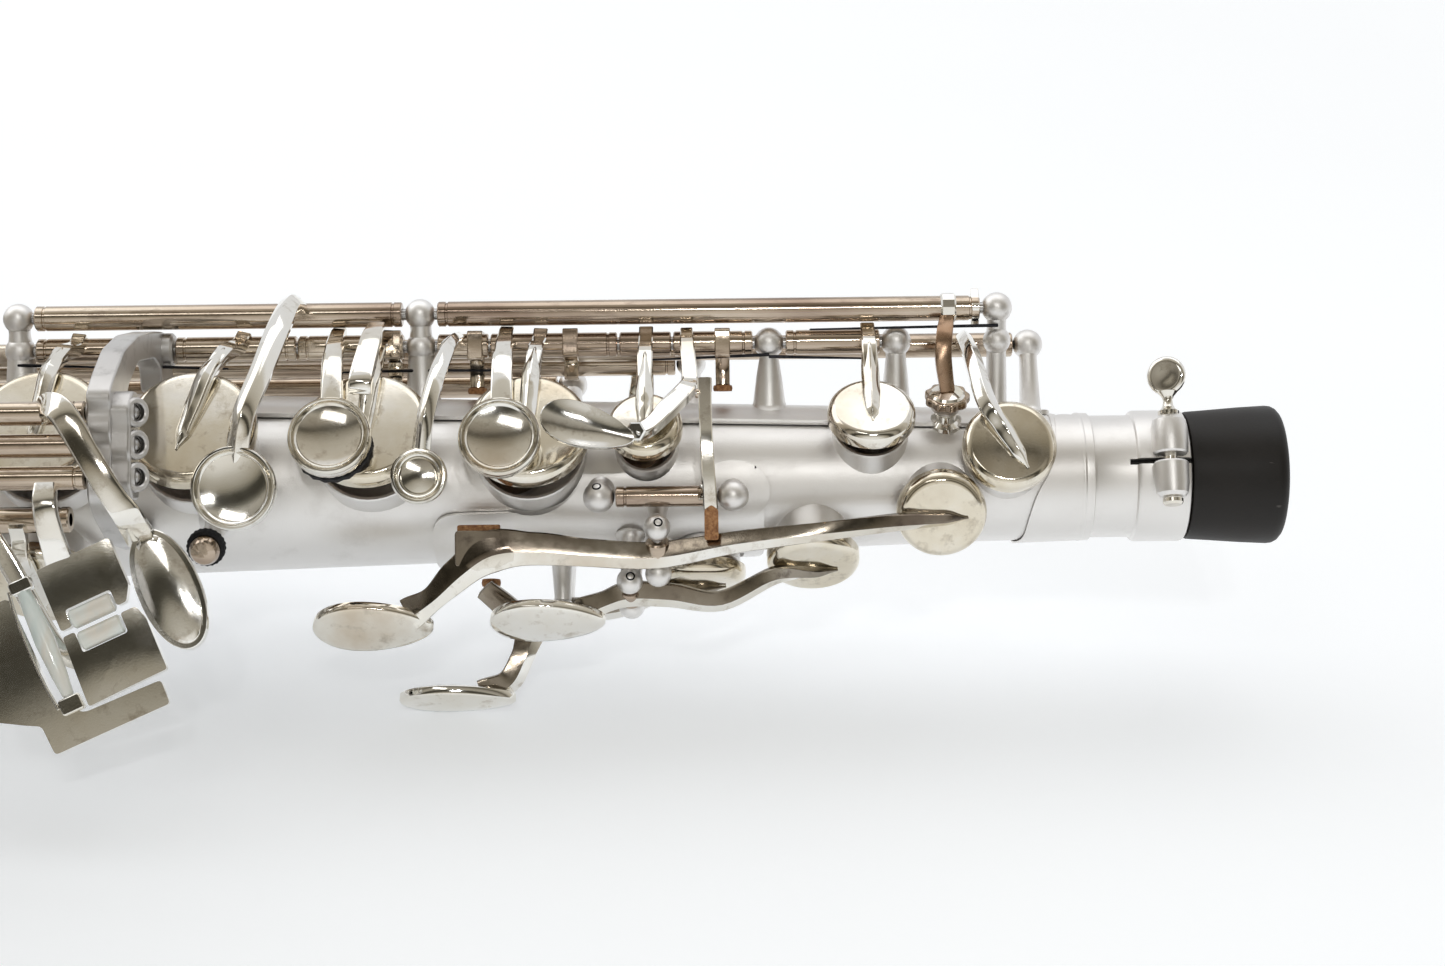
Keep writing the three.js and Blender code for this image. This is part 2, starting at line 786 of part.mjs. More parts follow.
function thumbHook() {
  const a = 186;
  const s = 300;
  const base = skin(
    [
      [s - 12, -6],
      [s + 12, -6],
      [s + 12, 6],
      [s - 12, 6],
    ],
    a,
    1.6,
  );
  const r = tubeRadius(s);
  const hook = bar(
    [polar(s, a, r + 1), polar(s + 2, a, r + 10), polar(s + 1, a - 8, r + 17), polar(s, a - 20, r + 18)],
    11,
    3,
    new THREE.Vector3(1, 0, 0),
    3,
  );
  return join(base, hook);
}

function thumbRest() {
  const a = 196;
  const s = 208;
  return turned(
    [
      [0, 0],
      [9, 0],
      [9, 2.4],
      [7, 3.6],
      [0, 4.2],
    ],
    polar(s, a, tubeRadius(s) + 1.6),
    outward(a),
    20,
  );
}

function strapRing() {
  const a = 188;
  const s = 246;
  const r = tubeRadius(s);
  const base = skin(
    [
      [s - 10, -5],
      [s + 10, -5],
      [s + 10, 5],
      [s - 10, 5],
    ],
    a,
    1.4,
  );
  const across = around(a);
  const middle = polar(s, a, r + 9);
  const hoop = hoopRing(middle, across, 1.6, 8.4, 5.2);
  return offTube(join(base, hoop), s - 20, s + 20);
}

const steelRod = (line, from, to) => rod(onLine(line, from), onLine(line, to), ROD_RADIUS, 6);

// ---------- moving keys ----------
// Builds one stack key: a hinge tube, a cup on its spear arm and a finger touch on its own arm.
function stackKey({ line, from, to, cups = [], touches = [], bored = true }) {
  let key = hinge(line, from, to);
  for (const [name, s] of cups) key = join(key, cup(name), cupArm(line, s, name));
  for (const [s, centre, a, radius] of touches)
    key = join(key, fingerTouch(centre, a, radius), touchArm(line, s, centre, a));
  return bored ? cut(key, hingeBore(line, from, to)) : key;
}

// A palm key: cup, lever and oval touch that rock on a short pin across the tube.
function palmKey([pinS, pinA], name, path, touchCentre, touchNormal, half) {
  const pivot = polar(pinS, pinA, tubeRadius(pinS) + PALM_RISE);
  const across = around(pinA);
  const reach = PALM_HALF - 3.1;
  const barrel = rod(
    pivot.clone().addScaledVector(across, -reach),
    pivot.clone().addScaledVector(across, reach),
    2.3,
  );
  const lever = bar([cupTop(name, -1), ...path, touchCentre], [3.4, 4], [2.4, 2.4], outward(pinA));
  const touch = paddle(touchCentre, touchNormal, new THREE.Vector3(1, 0, 0), half[0], half[1]);
  return join(barrel, lever, cup(name), touch);
}

// The high E key: a long tube down the back with its cup at the socket end.
function highEKey() {
  const arm = bar(
    [onLine(LINE_HIGH_E, 44.8), at(45.4, 5, 29), at(44.6, 12.4, 24.4), cupTop("high_e", -0.4)],
    [3.6, 2],
    [3, 2.2],
    outward(60),
  );
  const touch = plate(
    oval(13, 6),
    at(326, LINE_HIGH_E[0] - 9, LINE_HIGH_E[1] + 5),
    new THREE.Vector3(1, 0, 0),
    around(118),
    2.4,
  );
  const stem = rod(onLine(LINE_HIGH_E, 326), at(326, LINE_HIGH_E[0] - 8, LINE_HIGH_E[1] + 5), 1.6);
  return join(hinge(LINE_HIGH_E, 34.4, 330.4), arm, cup("high_e"), touch, stem);
}

// A key on a long tube down the back: its cup at the top end and its touch by the right hand.
function sideKey(line, from, cupS, name, touchS, reach) {
  const a = THREE.MathUtils.radToDeg(Math.atan2(line[1], line[0]));
  const tip = polar(touchS, a, Math.hypot(...line) + reach[0]).addScaledVector(around(a), reach[1]);
  const stem = rod(onLine(line, touchS), tip, 1.6);
  const touch = plate(oval(11, 5), tip, new THREE.Vector3(1, 0, 0), around(a), 2.4);
  return join(hinge(line, from, 330.4), cup(name), cupArm(line, cupS, name, 2), stem, touch);
}

// The octave vent's key: its cap on a curved arm, and the foot that the thumb's lever moves.
function octaveKey() {
  const cap = turned(
    [
      [0, GAP],
      [3.6, GAP],
      [3.6, 2.6],
      [0, 3.4],
    ],
    HOLES.octave.centre,
    HOLES.octave.normal,
  );
  const arm = bar([onLine(LINE_A, 49.2), at(50.6, 13, 27), cupTop("octave", -2.2)], 3, 2.2, outward(60));
  const foot = bar([onLine(LINE_A, 150), at(150, -6, 36)], 3, 2.4, outward(90));
  return cut(join(hinge(LINE_A, 42.7, 155.3), cap, arm, foot), hingeBore(LINE_A, 42.7, 155.3));
}

// The left thumb's lever on the back.
function octaveLever() {
  const plateCentre = at(178, -27.4, -10);
  const u = new THREE.Vector3(1, 0, 0);
  const v = new THREE.Vector3(0, 1, 0.1).normalize().cross(u);
  const touch = plate(oval(13, 7.5), plateCentre, u, v, 2.4);
  const arm = bar([onLine(LINE_OCTAVE, 178), at(178, -29, 0), plateCentre], 4, 2.6, outward(180));
  return join(hinge(LINE_OCTAVE, 165.4, 192.6), touch, arm);
}

function octavePosts() {
  const foot = skin(
    [
      [159, -4],
      [199, -4],
      [199, 4],
      [159, 4],
    ],
    165,
  );
  return join(foot, linePost(LINE_OCTAVE, 162, 2.8, 2), linePost(LINE_OCTAVE, 196, 2.8, 2));
}

// The plates of the left hand's pinky table hang below their pivots, tilted a little outward and turned in
// their own plane. From the table's middle, x runs across the plates and y up them.
const TABLE_TILT = 8;
const TABLE_TURN = 24.5;
const TABLE_THICK = 2.2;
const tableMiddle = at(216, 49.1, -27);
const tableNormal = outward(TABLE_TILT);
const tableAcross = new THREE.Vector3(Math.cos(rad(TABLE_TURN)), 0, 0).addScaledVector(
  around(TABLE_TILT),
  Math.sin(rad(TABLE_TURN)),
);
const tableUp = tableNormal.clone().cross(tableAcross);
const tablePoint = (x, y, lift = 0) =>
  tableMiddle
    .clone()
    .addScaledVector(tableAcross, x)
    .addScaledVector(tableUp, y)
    .addScaledVector(tableNormal, lift);

// A pinky-table key: a tube on one of the pivots, its plate, and a stem between them.
function tableKey(line, from, to, outline, stem) {
  const flat = plate(outline, tableMiddle, tableAcross, tableUp, TABLE_THICK);
  return join(hinge(line, from, to, TABLE_HINGE_RADIUS), flat, bar(stem, 3.4, 2.6, tableNormal));
}

function gSharpTouch() {
  const lever = [
    onLine(LINE_P1, 226),
    at(224, 51, 15.6),
    at(220.4, 54.4, 14),
    at(214.6, 56, 4.6),
    at(210, 56, -2.6),
    at(207.2, 54.4, -8.4),
    at(204, 51.4, -16),
  ];
  return join(
    hinge(LINE_P1, 218.4, 240, TABLE_HINGE_RADIUS),
    bar(lever, 4, 2.6, outward(10)),
    plate(oval(5.9, 12.3, 16), tablePoint(15.9, 0.9, 1.8), tableAcross, tableUp, 2.6),
  );
}

function lowCSharpTouch() {
  const outline = [
    [-5.9, 15.2],
    [-5.9, 2.4],
    [-3.9, 2.4],
    [-3.9, 5.9],
    [5.6, 5.9],
    [5.6, 2.4],
    [7.4, 2.4],
    [9.1, 5.3],
    [9.1, 15.2],
  ];
  const stem = [onLine(LINE_P3, 226), at(225.4, 49.6, -2), at(224.2, 50, -8), tablePoint(-2, 12.8, 0.6)];
  return tableKey(LINE_P3, 218.4, 239.7, outline, stem);
}

// The stem passes behind the next pivot and the other plates.
function lowBTouch() {
  const outline = [
    [-6.2, 0.4],
    [-6.2, -12.9],
    [9, -12.9],
    [9, 0.4],
    [5.6, 0.4],
    [5.6, -3.2],
    [-3.9, -3.2],
    [-3.9, 0.4],
  ];
  const stem = [
    onLine(LINE_P2, 245),
    at(244, 41, 5.2),
    at(242, 40.4, -3),
    at(235, 40, -15),
    tablePoint(-9.6, 1, -7.8),
    tablePoint(-3, -5, -4),
    tablePoint(0.5, -7, -1.4),
  ];
  return tableKey(LINE_P2, 218.4, 261.4, outline, stem);
}

function lowBbTouch() {
  const outline = [
    [-24, 12.6],
    [-24, -8.4],
    [-16.4, -12.2],
    [-16.4, -18.8],
    [7.4, -18.8],
    [7.4, -14.2],
    [-7.6, -14.2],
    [-12.4, -10.4],
    [-13, 12.6],
  ];
  const stem = [onLine(LINE_P3, 252), at(251, 48.6, -6), at(247, 48.4, -14), tablePoint(-20, 8, 0.4)];
  return tableKey(LINE_P3, 240.2, 261.4, outline, stem);
}

// A roller from one place on the table to another, as [radius, height] pairs along it.
function roller(from, to, profile) {
  const length = from.distanceTo(to);
  const points = profile.map(([r, t]) => [r, t * length]);
  return turned([[0, 0], ...points, [0, length]], from, to.clone().sub(from), 12);
}

// The link between the front F key and the palm F key, on its own rod.
function frontLink() {
  const lift = bar([onLine(LINE_FRONT, 100), at(100, 27, 8), at(99, 24.4, 18)], 3.4, 2.4, outward(0));
  const foot = bar([onLine(LINE_FRONT, 101), at(101, 24.6, -7)], 3.4, 2.2, outward(0));
  return join(hinge(LINE_FRONT, 97.8, 118, 2.1), lift, foot);
}

function frontFKey() {
  const touchCentre = at(122.9, 33, 11);
  const arm = bar(
    [onLine(LINE_B, 98), at(101, 18, 33), at(112, 34, 25), touchCentre.clone().add(at(0, 1, 0))],
    [3.4, 4.4],
    [3, 2.2],
    outward(30),
  );
  const key = join(hinge(LINE_B, 89.9, 106.4), arm, fingerTouch(touchCentre, 14, 5.4, 4));
  return cut(key, hingeBore(LINE_B, 89.9, 106.4));
}

// The G key's long tube is on the top rod and its cup's tube on the stack rod.
function gKey() {
  const touchCentre = at(192, 33.5, -0.6);
  const arm = bar(
    [onLine(LINE_A, 184), at(185, 24, 32), at(190, 38, 14), touchCentre.clone().add(at(0, 1, 0))],
    [3.4, 4.4],
    [3, 2.2],
    outward(30),
  );
  const key = join(hinge(LINE_A, 162.7, 238.9), arm, fingerTouch(touchCentre, 4, 8.4));
  return cut(key, hingeBore(LINE_A, 162.7, 238.9));
}

function bisKey() {
  const touchCentre = at(156, 33, 1.2);
  const arm = bar(
    [onLine(LINE_B, 151), at(151.4, 22, 29), at(154.4, 35, 15), touchCentre.clone().add(at(0, 1, 0))],
    [3.2, 3.4],
    [2.6, 2.2],
    outward(30),
  );
  const key = join(hinge(LINE_B, 144.9, 155.4), arm, fingerTouch(touchCentre, 8, 5.6, 4));
  return cut(key, hingeBore(LINE_B, 144.9, 155.4));
}

function bellKey(line, name, from, to, armS) {
  return join(hinge(line, from, to), cup(name, 14), cupArm(line, armS, name, 3, 4.4));
}

// A right-hand pinky key: its touch stands in front of the hinge.
function pinkyTouch(s, from) {
  const outline = [
    [s - 6, -7],
    [s + 6, -7],
    [s + 6, 7],
    [s - 6, 7],
  ];
  const centre = at(0, 31, 30);
  const u = new THREE.Vector3(-1, 0, 0);
  const flat = plate(outline, centre, u, around(40), 2.2);
  return join(flat, bar([onLine(LINE_D, from), at(from, 14, 42), at(s, 30, 31)], 3.4, 2.6, outward(70)));
}

function lowEbKey() {
  const key = join(
    hinge(LINE_D, 401.6, 427.4),
    cup("low_eb", 14),
    cupArm(LINE_D, 419, "low_eb", 3),
    pinkyTouch(422, 408),
  );
  return cut(key, hingeBore(LINE_D, 401.6, 427.4));
}

function lowCKey() {
  const arm = bar(
    [onLine(LINE_D, 464), at(471, 7.4, 39.6), at(490, 13, 38.6), cupTop("low_c", -0.4)],
    [4.4, 2.4],
    [3.6, 2.4],
    outward(80),
  );
  return join(hinge(LINE_D, 435.4, 470.4), cup("low_c", 14), arm, pinkyTouch(440, 440));
}

const bellSolid = () =>
  turned(
    [[0, -2], ...BELL_PROFILE.map(([h, r]) => [r + GAP, h]), [0, BELL_LENGTH]],
    bellStart,
    bellDirection,
    BELL_SIDES,
  );

// One guard over both bell cups: a leg at each end and a bar from bumper to bumper.
function bellGuard() {
  const height = 17.5;
  const ends = [HOLES.low_b, HOLES.low_bb].map(({ centre, normal }) =>
    centre.clone().addScaledVector(normal, height),
  );
  const link = bar(ends, 3.4, 2.6, outward(RIGHT_SIDE));
  const legs = [guard("low_bb", 4.2, height, [[0, 6]]), guard("low_b", 4.2, height, [[180, 6]])];
  return cut(join(link, ...legs), bellSolid());
}

// ---------- the list of parts ----------
const parts = [];
const add = (name, look, made, line = null, open = 0) => parts.push([name, look, made, line, open]);
const key = (name, made, line = null, open = 0) => add(name, "polished", made, line, open);

add("body_tube", "satin", bodyTube());
add("neck_socket", "satin", neckSocket());
add("bow", "satin", bow());
add("bell", "satin", bell());
add("body_bow_collar", "satin", collar(at(BODY_END, 0, 0), at(1, 0, 0), bowStartRadius, 0.8));
add("bell_bow_collar", "satin", collar(bellStart, bellDirection, BELL_START_RADIUS, 1.2));
add("bell_brace", "satin", bellBrace());
add("upper_stack_rib", "satin", upperRib());
add("lower_stack_rib", "satin", lowerRib());
add("side_key_rib", "satin", sideRib());
add("palm_key_plate", "satin", palmPlate());
add("arch_bracket", "satin", archBracket());
add("pinky_post", "satin", pinkyPost());
add("bell_key_rail", "satin", bellPosts(LINE_BELL, [303, 392, 442], 118));
add("c_sharp_posts", "satin", bellPosts(LINE_C_SHARP, [388, 434], -98));
add("bow_post", "satin", bowPost());
add("octave_posts", "satin", octavePosts());
add("bell_key_guard", "satin", bellGuard());
add("thumb_hook", "satin", thumbHook());
add("thumb_rest", "ebonite", thumbRest());
add("strap_ring", "satin", strapRing());
add("end_plug", "ebonite", endPlug());
add("clamp_screw", "polished", clampScrew());
add("top_hinge_rod", "steel", steelRod(LINE_A, 37, 244.6));
add("stack_hinge_rod", "steel", steelRod(LINE_B, 58, 245));
add("lower_hinge_rod", "steel", steelRod(LINE_D, 250.5, 433));

key("octave_key", octaveKey());
key("octave_lever", octaveLever());
key("high_e_key", highEKey());
key(
  "palm_f_key",
  palmKey(
    PALM_PINS[0],
    "palm_f",
    [at(76, 22.6, -9.4), at(109.7, 22.3, -13.9), at(136, 24, -22)],
    at(167.8, 21, -29),
    outward(-58),
    [11.7, 6],
  ),
);
key(
  "palm_eb_key",
  palmKey(
    PALM_PINS[1],
    "palm_eb",
    [at(97, 14.8, -25.4), at(115.6, 13.2, -23.2)],
    at(134, 17.4, -29),
    outward(-62),
    [11, 5.6],
  ),
);
key(
  "palm_d_key",
  palmKey(
    PALM_PINS[2],
    "palm_d",
    [at(114, 2.6, -25), at(130, 0.9, -27), at(140, 3, -35)],
    at(152, 6, -46),
    outward(-84),
    [12, 6.4],
  ),
);
key("front_f_key", frontFKey());
key("front_f_link", frontLink());
key("c_vent_key", stackKey({ line: LINE_B, from: 63.5, to: 83, cups: [["c_vent", 66]] }), LINE_B, 7);
key("c_key", stackKey({ line: LINE_B, from: 106.9, to: 117.6, cups: [["c_cup", 112]] }), LINE_B, STACK_OPEN);
key(
  "b_key",
  stackKey({
    line: LINE_B,
    from: 118.1,
    to: 144.4,
    cups: [["b", 134]],
    touches: [[141, at(140.4, 25.4, 4.4), 10, 8.2]],
  }),
  LINE_B,
  STACK_OPEN,
);
key("bis_key", bisKey());
key(
  "a_key",
  stackKey({
    line: LINE_B,
    from: 162.6,
    to: 184.4,
    cups: [["a", 166]],
    touches: [[176, at(173.8, 26.6, 4.6), 12, 8.2]],
  }),
  LINE_B,
  STACK_OPEN,
);
key(
  "g_cup_key",
  stackKey({ line: LINE_B, from: 184.9, to: 209.9, cups: [["g", 196]] }),
  LINE_B,
  STACK_OPEN,
);
key("g_key", gKey());
key(
  "f_sharp_key",
  stackKey({ line: LINE_B, from: 218.3, to: 238.9, cups: [["f_sharp", 230]] }),
  LINE_B,
  STACK_OPEN,
);

const LOWER_STACK = [
  ["f_key", "f", 256.1, 289, 262],
  ["e_key", "e", 289.5, 321.4, 297],
  ["d_key", "d", 328.6, 394.4, 334],
];
for (const [name, hole, from, to, touchS] of LOWER_STACK)
  key(
    name,
    stackKey({
      line: LINE_D,
      from,
      to,
      cups: [[hole, -HOLES[hole].centre.x]],
      touches: [[touchS, at(touchS, 28.6, 23.4), 38, 7.4]],
    }),
    LINE_D,
    STACK_OPEN,
  );
key("low_eb_key", lowEbKey());
key("low_c_key", lowCKey(), LINE_D, BELL_OPEN);
key(
  "g_sharp_key",
  stackKey({ line: LINE_GS, from: 226, to: 246, cups: [["g_sharp", 236]], bored: false }),
);
key("side_c_key", sideKey(LINE_SIDE_C, 106.4, 114, "side_c", 300, [7, 3]));
key("side_bb_key", sideKey(LINE_SIDE_BB, 132.4, 140, "side_bb", 322, [7, 3]));
key("low_bb_key", bellKey(LINE_BELL, "low_bb", 306.6, 388.4, 378), LINE_BELL, BELL_OPEN);
key("low_b_key", bellKey(LINE_BELL, "low_b", 395.6, 438.4, 432), LINE_BELL, BELL_OPEN);
key("low_c_sharp_key", bellKey(LINE_C_SHARP, "low_c_sharp", 391.6, 430.4, 408));
key("g_sharp_touch", gSharpTouch());
key("low_c_sharp_touch", lowCSharpTouch());
key("low_b_touch", lowBTouch());
key("low_bb_touch", lowBbTouch());

const STRAIGHT_ROLLER = [
  [1.9, 0],
  [1.9, 1],
];
const BARREL_ROLLER = [
  [1, 0],
  [1.55, 0.2],
  [1.95, 0.5],
  [1.7, 0.78],
  [1, 1],
];
add("low_c_sharp_roller", "pearl", roller(tablePoint(-3.5, 3.6), tablePoint(5.1, 3.6), STRAIGHT_ROLLER));
add("low_b_roller", "pearl", roller(tablePoint(-3.5, -0.9), tablePoint(5.1, -0.9), STRAIGHT_ROLLER));
add("low_bb_roller", "pearl", roller(tablePoint(-9.6, -9.4), tablePoint(-9.6, 13.2), BARREL_ROLLER));

// ---------- the exported group ----------
const instrument = new THREE.Group();
for (const [name, look, made, line, open] of parts) {
  const mesh = made.getMesh();
  const count = mesh.numVert;
  const positions = new Float32Array(count * 3);
  for (let i = 0; i < count; i++)
    positions.set(mesh.vertProperties.subarray(i * mesh.numProp, i * mesh.numProp + 3), i * 3);
  const geometry = new THREE.BufferGeometry();
  geometry.setAttribute("position", new THREE.BufferAttribute(positions, 3));
  geometry.setIndex(new THREE.BufferAttribute(mesh.triVerts, 1));
  geometry.computeVertexNormals();
  const node = new THREE.Mesh(geometry, new THREE.MeshStandardMaterial(COLOURS[look]));
  node.name = name;
  if (line) standOpen(node, line, open);
  instrument.add(node);
}

// Keys are drawn closed; one that stands open is turned about its hinge line.
function standOpen(node, line, degrees) {
  const pivot = onLine(line, 0);
  node.rotation.x = -rad(degrees);
  node.position.copy(pivot).sub(pivot.clone().applyEuler(node.rotation));
}

instrument.rotation.set(-rad(ROLL), -rad(PITCH), 0, "YXZ");
const saxophone = new THREE.Group();
saxophone.add(instrument);

// The origin is the middle of the resting instrument's box, at the table.
const box = new THREE.Box3().setFromObject(saxophone, true);
const middle = box.getCenter(new THREE.Vector3());
instrument.position.set(-middle.x, -middle.y, -box.min.z);

export default saxophone;
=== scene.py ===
"""Looks of the saxophone body: Blender 4.5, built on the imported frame.

The instrument is laid out in its own millimetres, as its solids are: s down the tube from the neck
socket's rim, p towards the front of the tube, q above it. place() carries a point into the frame.
"""

import json
import math
from collections import namedtuple

import bmesh
import bpy
from mathutils import Matrix, Vector

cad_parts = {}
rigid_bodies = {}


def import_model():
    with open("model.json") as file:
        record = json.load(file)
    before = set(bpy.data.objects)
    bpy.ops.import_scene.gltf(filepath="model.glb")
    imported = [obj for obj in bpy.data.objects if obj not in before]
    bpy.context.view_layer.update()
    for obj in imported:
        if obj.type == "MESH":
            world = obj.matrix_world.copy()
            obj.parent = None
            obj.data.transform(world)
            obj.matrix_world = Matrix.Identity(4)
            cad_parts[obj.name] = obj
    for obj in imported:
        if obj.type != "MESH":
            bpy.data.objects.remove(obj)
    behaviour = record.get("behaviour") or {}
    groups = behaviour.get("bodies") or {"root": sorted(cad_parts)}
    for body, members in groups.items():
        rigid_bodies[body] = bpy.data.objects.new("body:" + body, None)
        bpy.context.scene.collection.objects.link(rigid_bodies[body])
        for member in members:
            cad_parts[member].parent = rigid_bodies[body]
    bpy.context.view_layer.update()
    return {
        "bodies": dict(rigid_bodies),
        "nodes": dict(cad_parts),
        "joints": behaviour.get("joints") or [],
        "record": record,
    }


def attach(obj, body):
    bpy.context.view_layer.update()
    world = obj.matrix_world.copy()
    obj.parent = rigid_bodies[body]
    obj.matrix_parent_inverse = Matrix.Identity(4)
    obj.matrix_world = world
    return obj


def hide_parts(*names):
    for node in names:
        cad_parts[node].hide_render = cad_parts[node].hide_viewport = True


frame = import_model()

# ---------------------------------------------------------------- the resting instrument in the frame
ROLL = math.radians(28.13)
PITCH = math.radians(2.63)
ORIGIN = Vector((268.73759, 56.53543, 49.24652))
LIE = Matrix.Rotation(-PITCH, 4, "Y") @ Matrix.Rotation(-ROLL, 4, "X")

TOP_RADIUS = 12.2
TAPER = 0.0286
BODY_END = 455.0
BOW_RADIUS = 42.0
BOW_LEG = 32.0
BELL_LEAN = 3.5
BELL_START_RADIUS = 34.0
BELL_ANGLE = -12.0
RIGHT_SIDE = 78.0
STACK_OPEN = 9.0
CUP_HEIGHT = 4.9

LINE_A = (6.2, 35.4)
LINE_B = (5.05, 28.7)
LINE_D = (-1.3, 37.0)
LINE_FRONT = (23.6, -3.0)
LINE_P1 = (46.0, 14.4)
LINE_P2 = (46.0, 8.2)
LINE_P3 = (46.0, 2.0)
LINE_GS = (29.3, -6.2)
LINE_SIDE_C = (-13.6, 25.6)
LINE_SIDE_BB = (-19.6, 21.4)
LINE_HIGH_E = (-7.1, 28.4)
LINE_OCTAVE = (-27.0, 7.0)
LINE_BELL = (62.0, 29.5)
LINE_C_SHARP = (81.4, -61.8)
PALM_PINS = {"palm_f_key": (109.7, -32), "palm_eb_key": (115.6, -60), "palm_d_key": (130, -88)}
PALM_PIN_HEIGHT = 11


def at(s, p, q):
    """A point of the instrument."""
    return Vector((-s, -p, q))


def outward(a):
    """The way out from the tube's axis at an angle: 0 is the front, 90 the top."""
    return Vector((0, -math.cos(math.radians(a)), math.sin(math.radians(a))))


def around(a):
    """The way round the tube at an angle."""
    return Vector((0, math.sin(math.radians(a)), math.cos(math.radians(a))))


def polar(s, a, r):
    """A point at a distance from the tube's axis."""
    return at(s, 0, 0) + outward(a) * r


def tube_radius(s):
    return TOP_RADIUS + TAPER * s


def on_tube(s, a, above=0.0):
    """A point on or above the tube's wall."""
    return polar(s, a, tube_radius(s) + above)


def on_line(line, s):
    """A point of a hinge line."""
    return at(s, line[0], line[1])


def place(v):
    """A point in the instrument's millimetres, in the frame's metres."""
    return (LIE @ v + ORIGIN) * 0.001


def around_line(line):
    """A hinge line's angle round the tube's axis, and its distance from it."""
    return math.degrees(math.atan2(line[1], line[0])), math.hypot(*line)


def circle(count):
    """The cosine and sine of each step round a circle."""
    for i in range(count):
        turn = 2 * math.pi * i / count
        yield math.cos(turn), math.sin(turn)


ALONG = Vector((1, 0, 0))
UP = Vector((0, 0, 1))
FRONT = Vector((0, -1, 0))
DOWN_TUBE = at(1, 0, 0)
SOCKET_RIM = at(0, 0, 0)


# ---------------------------------------------------------------- materials
class Finish:
    """A procedural material being built: its nodes, its links and its shader."""

    def __init__(self, name, inputs):
        self.mat = bpy.data.materials.new(name)
        self.mat.use_nodes = True
        self.nodes, self.links = self.mat.node_tree.nodes, self.mat.node_tree.links
        self.shader = self.nodes["Principled BSDF"]
        for socket, value in inputs.items():
            self.shader.inputs[socket].default_value = value

    def noise(self, scale, detail, rough, stretch=None, distortion=0.0):
        """Noise on the piece itself, stretched along the instrument where asked."""
        source = self.nodes.new("ShaderNodeTexCoord").outputs["Object"]
        noise = self.nodes.new("ShaderNodeTexNoise")
        given = (("Scale", scale), ("Detail", detail), ("Roughness", rough), ("Distortion", distortion))
        for socket, value in given:
            noise.inputs[socket].default_value = value
        if stretch:
            mapping = self.nodes.new("ShaderNodeMapping")
            mapping.inputs["Rotation"].default_value = (ROLL, PITCH, 0)
            mapping.inputs["Scale"].default_value = stretch
            self.links.new(source, mapping.inputs["Vector"])
            source = mapping.outputs["Vector"]
        self.links.new(source, noise.inputs["Vector"])
        return noise.outputs["Fac"]

    def ramp(self, source, stops):
        ramp = self.nodes.new("ShaderNodeValToRGB")
        set_stops(ramp.color_ramp, stops)
        self.links.new(source, ramp.inputs["Fac"])
        return ramp.outputs["Color"]

    def mix(self, fac, a, colour):
        mix = self.nodes.new("ShaderNodeMix")
        mix.data_type = "RGBA"
        self.links.new(fac, mix.inputs["Factor"])
        self.links.new(a, mix.inputs["A"])
        mix.inputs["B"].default_value = (*colour, 1)
        return mix.outputs["Result"]

    def bump(self, source, strength, distance):
        bump = self.nodes.new("ShaderNodeBump")
        bump.inputs["Strength"].default_value = strength
        bump.inputs["Distance"].default_value = distance
        self.links.new(source, bump.inputs["Height"])
        self.use("Normal", bump.outputs["Normal"])

    def use(self, socket, output):
        self.links.new(output, self.shader.inputs[socket])


def set_stops(ramp, stops):
    """Gives a colour ramp its stops: (position, colour or grey)."""
    for position, _ in stops[1:-1]:
        ramp.elements.new(position)
    for element, (position, colour) in zip(ramp.elements, stops):
        element.position = position
        element.color = (*colour, 1) if isinstance(colour, tuple) else (colour, colour, colour, 1)


def metal(
    name, patches, tones, roughness, grain, patch_scale, fine_scale=2600, stretch=None, stain=0.72,
):
    """A worn metal: patches of tarnish of several tones, uneven roughness and a fine grain."""
    f = Finish(name, {"Metallic": 1.0})
    big = f.noise(patch_scale, 5, 0.6, stretch)
    small = f.noise(patch_scale * 7, 6, 0.65, stretch)
    base = f.ramp(big, list(zip(patches, tones)))
    spots = f.ramp(small, [(0.55, 0.0), (0.78, 1.0)])
    f.use("Base Color", f.mix(spots, base, tuple(c * stain for c in tones[-1])))
    f.use("Roughness", f.ramp(small, [(0.3, roughness[0]), (0.75, roughness[1])]))
    f.bump(f.noise(fine_scale, 3, 0.6), grain, 0.00008)
    return f.mat


def fibre(name, tones, scale):
    """Cork, felt and leather: a soft rough grain of three tones."""
    f = Finish(name, {"Roughness": 0.85})
    grain = f.noise(scale, 5, 0.7)
    f.use("Base Color", f.ramp(grain, list(zip((0.35, 0.5, 0.66), tones))))
    f.bump(grain, 0.7, 0.0003)
    return f.mat


def plug_plastic():
    """Matt black, with a few pale scratches."""
    f = Finish("black_plug", {"Specular IOR Level": 0.3})
    cloud = f.noise(45, 5, 0.6)
    base = f.ramp(cloud, [(0.3, (0.008, 0.007, 0.006)), (0.7, (0.018, 0.015, 0.013))])
    wear = f.ramp(f.noise(420, 3, 0.6, (0.2, 1, 1)), [(0.70, 0.0), (0.78, 1.0)])
    f.use("Base Color", f.mix(wear, base, (0.16, 0.15, 0.14)))
    f.use("Roughness", f.ramp(cloud, [(0.3, 0.42), (0.7, 0.56)]))
    f.bump(f.noise(1900, 3, 0.6), 0.25, 0.0001)
    return f.mat


